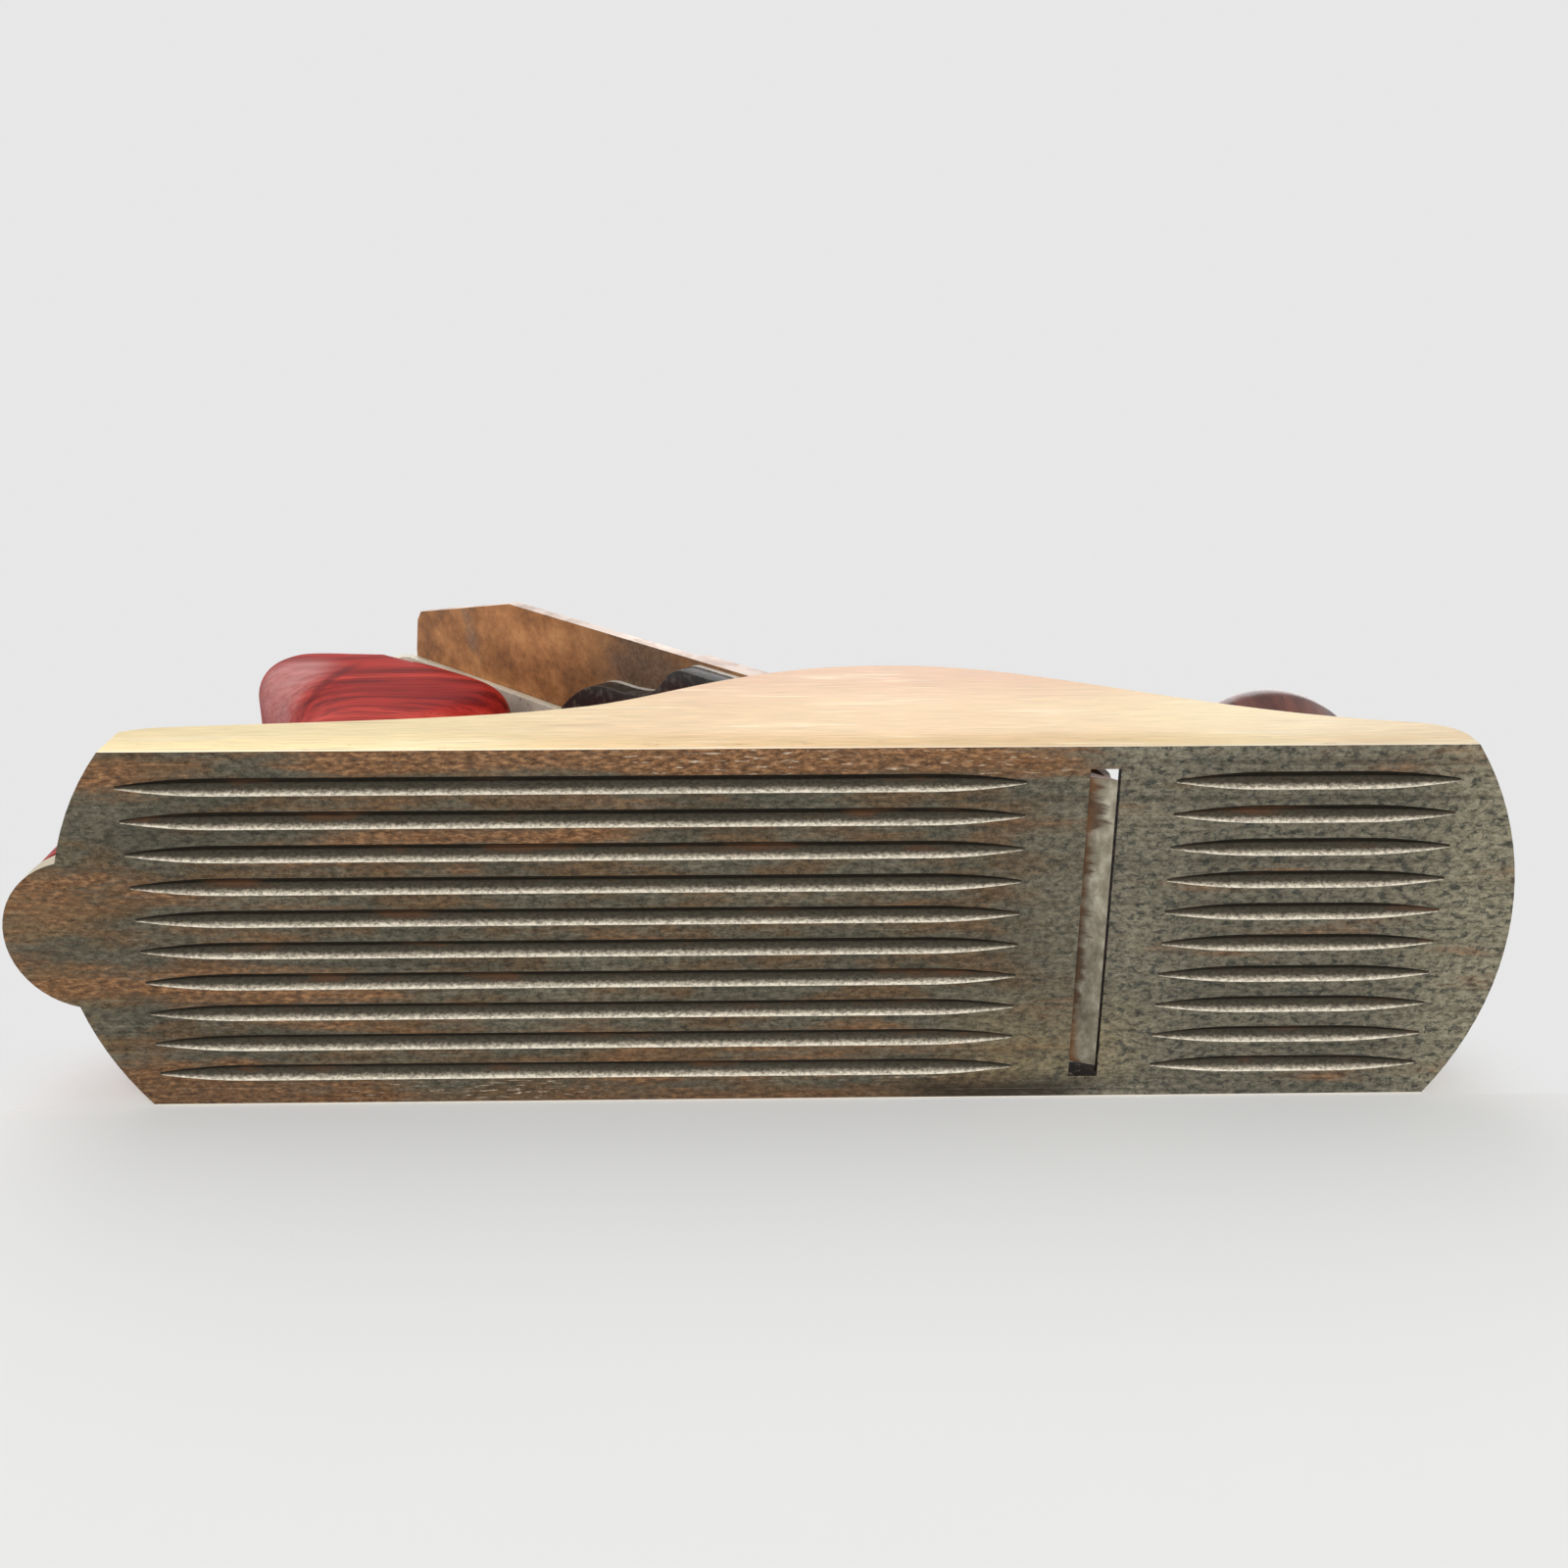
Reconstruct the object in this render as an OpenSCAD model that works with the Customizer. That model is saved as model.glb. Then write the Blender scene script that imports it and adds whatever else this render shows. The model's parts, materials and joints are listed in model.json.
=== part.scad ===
// Smoothing plane with a corrugated sole, as an assembly of its separate pieces.
// Millimetres. The plane rests on z = 0, +X runs to the toe, +Z is up, and the
// origin is on the sole, midway between heel and toe.

/* [Body casting] */
// Length from the mouth's rear edge back to the tip of the heel
heel_l = 170.5; // [164:0.5:190]
// Length from the mouth's front edge to the tip of the toe
toe_l = 64.7; // [61:0.1:76]
// Thickness of the sole
sole_t = 4.6; // [4:0.1:5.2]
// Thickness of each cheek
cheek_t = 3.4; // [2.8:0.1:4.2]
// Gap between the iron's edge and each cheek
cheek_gap = 2.2; // [2:0.1:3]
// Height of the cheeks at their highest point
cheek_h = 42; // [36:0.5:46]
// Distance from the mouth's front edge back to the highest point of the cheeks
cheek_peak_back = 33; // [28:0.5:38]
// Height of the low rails beside the tote and the knob
rail_h = 11.4; // [9:0.1:12.5]
// Radius of the toe's curve, seen from below
toe_r = 54; // [50:0.5:66]
// Radius of the heel's curve, seen from below
heel_r = 49.5; // [46:0.5:60]
// Distance that the round lobe stands out behind the heel's curve
lobe_out = 8.4; // [6:0.1:10]
// Radius of the lobe under the tote
lobe_r = 13; // [12:0.1:14]
// Height of the frog's seat above the sole
seat_h = 11; // [10.4:0.1:12]

/* [Mouth and grooves] */
// Length of the mouth along the plane
mouth_l = 4.8; // [4.4:0.1:6]
// Room beside the iron in the mouth, on each side
mouth_side_gap = 1.9; // [1.7:0.1:1.9]
// Number of grooves across the sole
groove_n = 10; // [6:1:10]
// Distance from one groove to the next
groove_pitch = 5.6; // [5:0.1:5.8]
// Width of a groove at the sole
groove_w = 3.1; // [2.4:0.1:3.4]
// Width of the flat at the bottom of a groove
groove_floor_w = 0.5; // [0.3:0.1:1]
// Depth of a groove
groove_d = 1.4; // [1:0.1:1.8]
// Length of a groove's pointed run-out
groove_tip_l = 15; // [10:0.5:18]
// Distance from the tip of the heel to the rear grooves
groove_heel_gap = 20.8; // [18:0.1:26]
// Distance from the rear grooves to the mouth
groove_rear_gap = 9.4; // [6:0.1:12]
// Distance from the mouth to the front grooves
groove_front_gap = 8.4; // [6:0.1:12]
// Distance from the front grooves to the tip of the toe
groove_toe_gap = 11.6; // [10:0.1:16]

/* [Bed and irons] */
// Angle of the bed to the sole
bed_a = 45; // [44:0.5:46]
// Clearance between the iron's underside and the mouth's rear edge, along the sole
bed_gap = 1.25; // [0.9:0.05:1.3]
// Width of the plane iron
iron_w = 50.8; // [49:0.1:52]
// Thickness of the plane iron
iron_t = 2.4; // [2:0.1:2.5]
// Length of the plane iron, along the bed
iron_l = 188; // [180:1:194]
// Angle of the bevel
bevel_a = 25; // [24:1:32]
// Height of the cutting edge above the sole at rest
edge_up = 0.2; // [0.1:0.05:0.4]
// Width of the straight top end of the iron
iron_top_w = 30; // [24:1:36]
// Length of the iron's tapered corners
iron_corner_l = 37; // [20:1:44]
// Width of the iron's long slot
slot_w = 11.3; // [11:0.1:12]
// Diameter of the keyhole at the slot's lower end
keyhole_d = 17.5; // [16.5:0.1:19]
// Thickness of the cap iron
cap_iron_t = 2; // [1.8:0.1:2.4]
// Distance from the cutting edge back to the cap iron's edge
cap_iron_back = 1.6; // [1:0.1:2.4]
// Length of the cap iron
cap_iron_l = 112.5; // [108:0.5:116]
// Height of the cap iron's hump above the iron
hump_h = 5; // [4:0.1:5.4]

/* [Frog] */
// Distance that each side of the frog lies inside the iron's edge
frog_inset = 0.7; // [0.4:0.1:1.5]
// Thickness of the frog's bed plate
plate_t = 5; // [4.6:0.1:5.6]
// Length of the frog's full width, along the bed
shoulder_s = 89; // [86:0.5:92]
// Length of the frog to its rounded top, along the bed
frog_top_s = 129.5; // [126:0.5:133]
// Width of the frog's narrow neck
neck_w = 32; // [30:0.5:36]
// Thickness of the frog's foot
foot_t = 5; // [4:0.1:6]
// Distance from the mouth back to the frog's rear face
frog_foot_l = 54.5; // [52:0.5:57]
// Thickness of the frog's side webs
web_t = 4; // [3:0.1:5]
// Distance that the frog can move forward
frog_fwd = 0.05; // [0.05:0.05:0.1]
// Distance that the frog can move back
frog_back = 0.85; // [0.4:0.05:0.9]
// Diameter of the two screws that hold the frog
frog_screw_d = 6; // [5.5:0.1:6.4]
// Distance between the two screws that hold the frog
frog_screw_span = 26; // [22:0.5:29]
// Diameter of the frog's adjusting screw
adj_screw_d = 5; // [4.6:0.1:5.2]

/* [Depth adjustment] */
// Height of the stud's axis above the sole
stud_z = 33; // [32:0.5:34]
// Diameter of the stud that carries the depth nut
stud_d = 6; // [5:0.1:7]
// Diameter of the depth nut's knurled wheel
nut_d = 27; // [25:0.5:30]
// Width of the depth nut's knurled wheel
nut_w = 11.5; // [10:0.5:13]
// Width of the groove that the fork works in
fork_groove_w = 5; // [4.8:0.1:5.4]
// Diameter of the pin through the Y lever
y_pin_d = 4; // [3.6:0.1:4.6]

/* [Lateral adjustment] */
// Width of the lateral lever
lateral_w = 12.4; // [11.8:0.1:13]
// Thickness of the lateral lever
lateral_t = 2; // [1.6:0.1:2.2]
// Distance that the lateral lever stands past the iron's top end
lateral_past = 3.2; // [2:0.1:5]
// Height of the lateral lever's thumb tab
thumb_h = 10; // [9:0.5:12]

/* [Lever cap] */
// Thickness of the lever cap
cap_t = 3.6; // [3:0.1:4.2]
// Width of the lever cap at its lower edge
cap_w = 49; // [46:0.5:50]
// Width of the lever cap at its upper end
cap_top_w = 38; // [34:0.5:42]
// Diameter of the lever cap screw's shank
cap_screw_d = 6.4; // [6:0.1:7]
// Diameter of the pin through the cam lever
cam_pin_d = 3.2; // [2.8:0.1:3.6]

/* [Handles] */
// Thickness of the tote
tote_w = 26; // [23:0.5:27]
// Length of the tote's foot
tote_l = 86.6; // [80:0.5:92]
// Height of the tote above its seat
tote_h = 111; // [102:1:115]
// Distance from the tip of the heel to the back of the tote
tote_heel_gap = 1.6; // [1:0.1:4]
// Diameter of the rods that hold the tote and the knob
rod_d = 5.6; // [5:0.1:6]
// Distance from the tip of the toe to the knob's axis
knob_toe_gap = 21.6; // [20:0.1:26]
// Greatest diameter of the knob
knob_d = 38; // [35:0.5:40]
// Height of the knob above its seat
knob_h = 66; // [58:1:70]
// Diameter of the nuts on top of the tote and the knob
top_nut_d = 12.5; // [11:0.5:13.5]

/* [Fits] */
// Clearance around threads, pins and shafts, on the radius
fit = 0.05; // [0.03:0.01:0.08]
// Clearance between pieces that pass each other
free = 0.3; // [0.25:0.05:0.4]

/* [Hidden] */
$fn = 64;
// Overshoot of every cut past the face that it opens
cut = 1;

// Body
body_w = iron_w + 2 * (cheek_gap + cheek_t);
half_w = body_w / 2;
body_l = heel_l + mouth_l + toe_l;
toe_x = body_l / 2;
heel_x = -body_l / 2;
mouth_front = toe_x - toe_l;
mouth_rear = mouth_front - mouth_l;
mouth_w = iron_w + 2 * mouth_side_gap;
toe_cx = toe_x - toe_r;
heel_cx = heel_x + lobe_out + heel_r;
toe_corner = toe_cx + sqrt(toe_r * toe_r - half_w * half_w);
heel_corner = heel_cx - sqrt(heel_r * heel_r - half_w * half_w);
peak_x = mouth_front - cheek_peak_back;
corner_rise = 5;
corner_run = 7;

// Bed: s runs up the bed from the sole, n stands out from it towards the toe
bed_x = mouth_rear + bed_gap;
edge_n = iron_t;
edge_s = (edge_up - edge_n * cos(bed_a)) / sin(bed_a);
bevel_l = iron_t / tan(bevel_a);
iron_top_s = edge_s + iron_l;
cap_iron_n = iron_t;
cap_iron_edge_s = edge_s + cap_iron_back;
cap_iron_top_s = cap_iron_edge_s + cap_iron_l;
cap_iron_top_n = iron_t + cap_iron_t;
cap_screw_s = 42;
joint_screw_s = 62;
finger_s = 80;
disc_s = 101;
rivet_s = 113;

// Frog
frog_half = iron_w / 2 - frog_inset;
frog_rear = mouth_rear - frog_foot_l;
seat_rear = frog_rear + 3;
seat_front = seat_rear + 37;
seat_half = 22;
nose_rear = seat_front + frog_back + free;
nose_z = sole_t + free;
guide_w = 6;
guide_h = 1.6;
screw_x = mouth_rear - 24.5;
screw_y = frog_screw_span / 2;
ledge_z = seat_h + 3;
washer_t = 1.4;
washer_l = 10;
washer_w = 11;
screw_head_d = 9;
screw_head_h = 3;
travel = frog_fwd + frog_back;
head_d = 16;
head_t = 3;
window_half = head_d / 2 + 2;
adj_z = sole_t + 4;
adj_head_d = 7;
clip_t = 1.6;
clip_w = 12;
clip_x = frog_rear - clip_t;
clip_screw_d = 4;
clip_screw_z = seat_h + 8;

// Depth adjustment
pivot_s = 80;
pivot_n = -9;
pivot_x = bed_x - pivot_s * cos(bed_a) + pivot_n * sin(bed_a);
pivot_z = pivot_s * sin(bed_a) + pivot_n * cos(bed_a);
hub_r = 4.5;
ear_gap = 13;
ear_t = 3.2;
groove_x = pivot_x - 5.2;
core_r = 5;
flange_r = 7.8;
flange_t = 1.5;
prong_w = 2.4;
prong_t = 2;
bar_x = groove_x + 1.2;
bar_z = stud_z + flange_r + 0.5;
bar_h = 2.5;
stud_boss_x = frog_rear - 4;
stud_end_x = groove_x - fork_groove_w / 2 - nut_w - 5;

// Lateral adjustment
lateral_n = -lateral_t - 0.1;
lateral_end_s = iron_top_s + lateral_past;
disc_r = slot_w / 2 - 0.25;
rivet_d = 4;

// Lever cap
cap_n = cap_iron_top_n + 3.2;
cap_lip_s = 10;
cap_top_s = 107;
cam_s = 101;
cam_n = cap_n + 3;
cam_half = 10;
cap_screw_top = cap_n + cap_t;
spring_t = 0.8;
spring_s = 86;

// Handles
seat_pad_h = 1.4;
tote_z = sole_t + seat_pad_h;
tote_x = heel_x + tote_heel_gap;
tote_foot_share = 0.296;
tote_top_share = 0.562;
tote_nut_share = 0.86;
tote_rod_x = tote_x + tote_foot_share * tote_l;
tote_lean = atan((tote_top_share - tote_foot_share) * tote_l / (tote_nut_share * tote_h));
tote_rod_l = tote_nut_share * tote_h / cos(tote_lean);
knob_x = toe_x - knob_toe_gap;
knob_z = sole_t + 4.4;
thread_l = 3;
nut_shank_d = rod_d + 3;
nut_shank_l = 20;
nut_head_h = 4;

// Smooth curve through a list of knots, n steps between each two
function knot_curve(a, b, c, d, t) =
    0.5 * (2 * b + (c - a) * t + (2 * a - 5 * b + 4 * c - d) * t * t
    + (3 * b - a - 3 * c + d) * t * t * t);
function smooth(k, n) = concat(
    [for (i = [0 : len(k) - 2], j = [0 : n - 1])
        knot_curve(k[max(i - 1, 0)], k[i], k[i + 1], k[min(i + 2, len(k) - 1)], j / n)],
    [k[len(k) - 1]]);
// Cubic curve from a to d with handles b and c
function bend(a, b, c, d, n) = [for (i = [0 : n]) let (t = i / n, u = 1 - t)
    u * u * u * a + 3 * u * u * t * b + 3 * u * t * t * c + t * t * t * d];
// Outline that is the same on both sides of the middle, from points [s, half width]
function both_sides(k) = concat([for (p = k) [-p[0], p[1]]],
    [for (i = [len(k) - 1 : -1 : 0]) [-k[i][0], -k[i][1]]]);

// Places its children in the bed's frame, s up the bed and n out of it
module on_bed(s = 0, n = 0) {
    translate([bed_x, 0, 0]) rotate([0, bed_a, 0]) translate([-s, 0, n]) children();
}

// Side view in the bed's frame, points [s, n], carried w across the plane
module bed_side(pts, w) {
    on_bed() rotate([90, 0, 0]) linear_extrude(w, center = true)
        polygon([for (p = pts) [-p[0], p[1]]]);
}

// Side view in the plane's own frame, carried w across the plane
module side_view(pts, w) {
    rotate([90, 0, 0]) linear_extrude(w, center = true) polygon(pts);
}

// Cylinder that lies along the plane from x0 to x1
module along_x(d, x0, x1) {
    translate([x0, 0, 0]) rotate([0, 90, 0]) cylinder(d = d, h = x1 - x0);
}

// Cylinder that lies across the plane, centred
module across(d, w) {
    rotate([90, 0, 0]) cylinder(d = d, h = w, center = true);
}

// Screw slot across a head whose top is at the origin
module driver_slot(d, w = 1.2, deep = 1.4) {
    translate([-d, -w / 2, -deep]) cube([2 * d, w, deep + cut]);
}

// Body casting: sole, cheeks, frog seat and handle seats
module sole_outline() {
    intersection() {
        translate([heel_x, -half_w]) square([body_l, body_w]);
        union() {
            translate([toe_cx, 0]) circle(r = toe_r, $fn = 180);
            translate([heel_x, -half_w]) square([toe_cx - heel_x, body_w]);
        }
        union() {
            translate([heel_cx, 0]) circle(r = heel_r, $fn = 180);
            translate([heel_cx, -half_w]) square([toe_x - heel_cx, body_w]);
        }
    }
}

module cheek_outline() {
    low = heel_corner + corner_run;
    high = toe_corner - corner_run;
    swell_x = peak_x - 50.7;
    swell_z = rail_h + (cheek_h - rail_h) * 0.3;
    polygon(concat(
        [[heel_corner - 3, 0]],
        bend([heel_corner - 3, corner_rise - 1], [heel_corner - 2, rail_h - 2.4],
            [heel_corner + 2, rail_h - 0.4], [low, rail_h], 8),
        bend([low, rail_h], [low + 23, rail_h + 2.3], [swell_x - 17, swell_z - 6.2],
            [swell_x, swell_z], 12),
        bend([swell_x, swell_z], [swell_x + 13, swell_z + 4.8], [peak_x - 26, cheek_h],
            [peak_x, cheek_h], 14),
        bend([peak_x, cheek_h], [peak_x + 27.4, cheek_h], [peak_x + 45.4, rail_h + 6],
            [high, rail_h - 0.9], 18),
        bend([high, rail_h - 0.9], [high + 3.6, rail_h - 1.6], [toe_corner, rail_h - 3.4],
            [toe_corner + 0.3, corner_rise - 2], 8),
        [[toe_corner + 0.3, 0]]));
}

module cheeks() {
    intersection() {
        linear_extrude(cheek_h + cut) sole_outline();
        for (side = [-1, 1])
            translate([0, side * (half_w - cheek_t / 2), 0])
                rotate([90, 0, 0]) linear_extrude(cheek_t, center = true) cheek_outline();
    }
}

// Side view of the cutter's teeth, one for each groove
function groove_teeth(base) = let (
        slope = (groove_w - groove_floor_w) / 2 / groove_d,
        half = groove_w / 2 + slope * cut)
    concat([[-(groove_n + 1) / 2 * groove_pitch, base - 4 * cut]],
        [for (i = [0 : groove_n - 1]) let (c = (i - (groove_n - 1) / 2) * groove_pitch)
            each [[c - half, base - cut], [c - groove_floor_w / 2, base + groove_d],
                [c + groove_floor_w / 2, base + groove_d], [c + half, base - cut]]],
        [[(groove_n + 1) / 2 * groove_pitch, base - 4 * cut]]);

module groove_group(x0, x1) {
    wheel_r = (groove_tip_l * groove_tip_l + groove_d * groove_d) / (2 * groove_d);
    start = x0 + groove_tip_l;
    end = x1 - groove_tip_l;
    translate([start, 0, 0]) rotate([90, 0, 90]) linear_extrude(end - start)
        polygon(groove_teeth(0));
    for (x = [start, end])
        translate([x, 0, groove_d - wheel_r]) rotate([90, 0, 0]) rotate_extrude($fn = 360)
            polygon([for (p = groove_teeth(wheel_r - groove_d)) [p[1], p[0]]]);
}

module mouth_opening() {
    top = sole_t + cut;
    relief = 2;
    side_view([[mouth_rear + cut, -cut], [mouth_front, -cut], [mouth_front, relief],
        [mouth_front + 3, top], [mouth_rear - top / tan(bed_a), top],
        [mouth_rear, 0]], mouth_w);
}

module plane_body() {
    color([0.25, 0.24, 0.22]) difference() {
        union() {
            linear_extrude(sole_t) sole_outline();
            translate([heel_x + lobe_r, 0, 0]) cylinder(r = lobe_r, h = sole_t);
            translate([heel_x + lobe_r, -lobe_r, 0]) cube([lobe_r, 2 * lobe_r, sole_t]);
            cheeks();
            translate([seat_rear, -seat_half, 0])
                cube([seat_front - seat_rear, 2 * seat_half, seat_h]);
            translate([seat_rear, -guide_w / 2, 0])
                cube([seat_front - seat_rear, guide_w, seat_h + guide_h]);
            translate([knob_x, 0, 0]) cylinder(d = 33, h = knob_z - 2);
            translate([knob_x, 0, 0]) cylinder(d = 27, h = knob_z);
            translate([tote_x + lobe_r - 1, 0, 0]) cylinder(r = lobe_r - 1, h = tote_z);
            translate([tote_x + lobe_r - 1, 1 - lobe_r, 0])
                cube([tote_l - 16.6, 2 * (lobe_r - 1), tote_z]);
        }
        mouth_opening();
        groove_group(heel_x + groove_heel_gap, mouth_rear - groove_rear_gap);
        groove_group(mouth_front + groove_front_gap, toe_x - groove_toe_gap);
        for (side = [-1, 1])
            translate([screw_x, side * screw_y, seat_h - 6])
                cylinder(d = frog_screw_d + 2 * fit, h = 6 + cut);
        translate([0, 0, adj_z])
            along_x(adj_screw_d + 2 * fit, seat_rear - cut, seat_rear + 17);
        translate([knob_x, 0, sole_t - thread_l])
            cylinder(d = rod_d + 2 * fit, h = knob_z + cut);
        tote_rod_line() translate([0, 0, -thread_l])
            cylinder(d = rod_d + 2 * fit, h = thread_l + 3 * cut);
    }
}

// Frog: the sloping casting that carries the irons
module frog_outline() {
    neck = neck_w / 2;
    foot_s = (nose_z - cut) / sin(bed_a);
    ogee = smooth([[shoulder_s - 8, frog_half], [shoulder_s, frog_half],
        [shoulder_s + 4, frog_half - 1.6], [shoulder_s + 7.2, neck + 3.6],
        [shoulder_s + 12, neck + 1.2], [shoulder_s + 18, neck + 0.3],
        [frog_top_s - 15, neck], [frog_top_s - 8.5, neck - 3], [frog_top_s - 2.6, 7.6],
        [frog_top_s, 0]], 5);
    polygon(both_sides(concat([[foot_s, frog_half]], [for (i = [5 : len(ogee) - 1]) ogee[i]])));
}

module frog_web(y, t) {
    back = bed_x - plate_t / sin(bed_a);
    low = seat_h + foot_t;
    top = back - frog_rear + 2;
    translate([0, y, 0]) side_view([[frog_rear, low - cut], [back - low + cut, low - cut],
        [frog_rear - 2, top], [frog_rear - 2, top - 14], [frog_rear, clip_screw_z + 7]], t);
}

module frog() {
    back = bed_x - plate_t / sin(bed_a);
    front_x = bed_x - (nose_z - cut) / tan(bed_a);
    foot_top = seat_h + foot_t;
    room_s = hub_r + 6.5;
    finger_half = 5.2;
    color([0.08, 0.08, 0.09]) difference() {
        union() {
            on_bed(0, -plate_t) linear_extrude(plate_t) frog_outline();
            side_view([[frog_rear, nose_z - cut], [front_x, nose_z - cut],
                [bed_x - foot_top / tan(bed_a), foot_top], [frog_rear, foot_top]], 2 * seat_half);
            for (side = [-1, 1]) frog_web(side * (seat_half - web_t / 2), web_t);
            frog_web(0, 11);
            intersection() {
                translate([0, 0, stud_z]) along_x(16, stud_boss_x, back);
                side_view([[stud_boss_x - cut, 0], [bed_x, 0], [back - stud_z - 20, stud_z + 20],
                    [stud_boss_x - cut, stud_z + 20]], 2 * seat_half);
            }
            on_bed(cap_screw_s, -13) cylinder(d = 14, h = 13);
            for (side = [-1, 1]) y_lever_ear(side);
        }
        // Flat underside: on the seat behind, and just clear of the sole under the nose
        side_view([[frog_rear - cut, nose_z - plate_t], [bed_x, nose_z - plate_t],
            [bed_x, nose_z], [nose_rear, nose_z], [nose_rear, seat_h],
            [frog_rear - cut, seat_h]], body_w);
        // Pockets, slots and ledges for the two screws
        for (side = [-1, 1]) translate([screw_x, side * screw_y, 0]) {
            translate([-washer_l / 2 - travel, -washer_w / 2 - free, ledge_z])
                cube([washer_l + 2 * travel, washer_w + 2 * free, frog_foot_l]);
            for (x = [-frog_back - free, frog_fwd + free])
                translate([-x, 0, seat_h - cut])
                    cylinder(d = frog_screw_d + 2 * free, h = ledge_z);
            translate([-frog_fwd - free, -frog_screw_d / 2 - free, seat_h - cut])
                cube([travel + 2 * free, frog_screw_d + 2 * free, ledge_z]);
        }
        // Groove over the seat's guide rib
        translate([frog_rear - cut, -guide_w / 2 - 0.15, seat_h - cut])
            cube([seat_front - frog_rear + cut + frog_back + free, guide_w + 0.3,
                guide_h + cut + 0.2]);
        // Window for the cap iron screw's head and the Y lever's finger
        on_bed() translate([-joint_screw_s - window_half - 1, -window_half, -plate_t])
            cube([2 * window_half + 2, 2 * window_half, plate_t + cut]);
        on_bed() translate([-finger_s - 6.5, -finger_half, -plate_t - cut])
            cube([finger_s - joint_screw_s - window_half + 6.5, 2 * finger_half, plate_t + 2 * cut]);
        // Room for the Y lever between its ears
        on_bed() translate([-pivot_s - room_s, -ear_gap / 2, pivot_n - 10])
            cube([2 * room_s, ear_gap, 10 + hub_r + 0.6]);
        // Recess for the lateral lever
        on_bed(0, lateral_n - 0.1) linear_extrude(plate_t) polygon(both_sides([
            [disc_s - 6.6, lateral_w / 2 + 1.2], [frog_top_s + cut, lateral_w / 2 + 2.2]]));
        on_bed(cap_screw_s, -14) cylinder(d = cap_screw_d + 2 * fit, h = 14 + cut);
        on_bed(rivet_s, -plate_t - cut) cylinder(d = rivet_d + 2 * fit, h = plate_t + 2 * cut);
        translate([0, 0, stud_z]) along_x(stud_d + 2 * fit, stud_boss_x - cut, stud_boss_x + 9);
        translate([0, 0, clip_screw_z])
            along_x(clip_screw_d + 2 * fit, frog_rear - 3, frog_rear + 9);
    }
}

module y_lever_ear(side) {
    reach = hub_r + 5.5;
    tip = hub_r + 0.1;
    translate([0, side * (ear_gap + ear_t - cut) / 2, 0]) difference() {
        bed_side([[pivot_s - reach, -plate_t / 2], [pivot_s - reach + 4, pivot_n - 2],
            [pivot_s - 3.4, pivot_n - tip], [pivot_s + 3.4, pivot_n - tip],
            [pivot_s + reach - 4, pivot_n - 2], [pivot_s + reach, -plate_t / 2]], ear_t + cut);
        translate([pivot_x, 0, pivot_z]) across(y_pin_d + 2 * fit, ear_t + 3 * cut);
    }
}

module frog_screws() {
    color([0.55, 0.53, 0.5]) for (side = [-1, 1]) translate([screw_x, side * screw_y, 0])
        difference() {
            union() {
                translate([0, 0, seat_h - 5.5])
                    cylinder(d = frog_screw_d, h = ledge_z + washer_t - seat_h + 5.5 + cut);
                translate([0, 0, ledge_z + washer_t])
                    cylinder(d = screw_head_d, h = screw_head_h);
            }
            translate([0, 0, ledge_z + washer_t + screw_head_h]) driver_slot(screw_head_d);
        }
}

module frog_washers() {
    color([0.5, 0.48, 0.45]) for (side = [-1, 1])
        translate([screw_x, side * screw_y, ledge_z]) difference() {
            translate([-washer_l / 2, -washer_w / 2, 0]) cube([washer_l, washer_w, washer_t]);
            translate([0, 0, -cut])
                cylinder(d = frog_screw_d + 2 * fit, h = washer_t + 2 * cut);
        }
}

// Screw that moves the frog: it turns in the body, and the clip follows its groove
module frog_adjusting_screw() {
    neck = adj_screw_d - 1;
    front = frog_rear + 0.1;
    back = clip_x - 0.1;
    color([0.55, 0.53, 0.5]) translate([0, 0, adj_z]) difference() {
        union() {
            along_x(adj_screw_d, front, seat_rear + 15);
            along_x(adj_screw_d + 1.6, front, front + 1.3);
            along_x(neck, back - cut, front + cut);
            along_x(adj_head_d, back - 4.5, back);
        }
        translate([back - 4.5, 0, 0]) rotate([0, -90, 0]) driver_slot(adj_head_d);
    }
}

// Bent plate between the frog's back and the adjusting screw
module frog_clip() {
    top = clip_screw_z + 4.5;
    color([0.3, 0.3, 0.3]) difference() {
        translate([clip_x, -clip_w / 2, adj_z - 2.2]) cube([clip_t, clip_w, top - adj_z + 2.2]);
        translate([0, 0, adj_z]) along_x(adj_screw_d - 1 + 2 * fit, clip_x - cut, frog_rear + cut);
        translate([clip_x - cut, -adj_screw_d / 2 + 0.5 - fit, 0])
            cube([clip_t + 2 * cut, adj_screw_d - 1 + 2 * fit, adj_z]);
        translate([0, 0, clip_screw_z])
            along_x(clip_screw_d + 2 * fit, clip_x - cut, frog_rear + cut);
    }
}

module frog_clip_screw() {
    color([0.55, 0.53, 0.5]) translate([0, 0, clip_screw_z]) difference() {
        union() {
            along_x(clip_screw_d, clip_x - cut, frog_rear + 8);
            along_x(7, clip_x - 2.4, clip_x);
        }
        translate([clip_x - 2.4, 0, 0]) rotate([0, -90, 0]) driver_slot(7, 1, 1.1);
    }
}

// Depth adjustment
module depth_stud() {
    color([0.6, 0.58, 0.54]) translate([0, 0, stud_z])
        along_x(stud_d, stud_end_x, stud_boss_x + 8.5);
}

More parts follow.
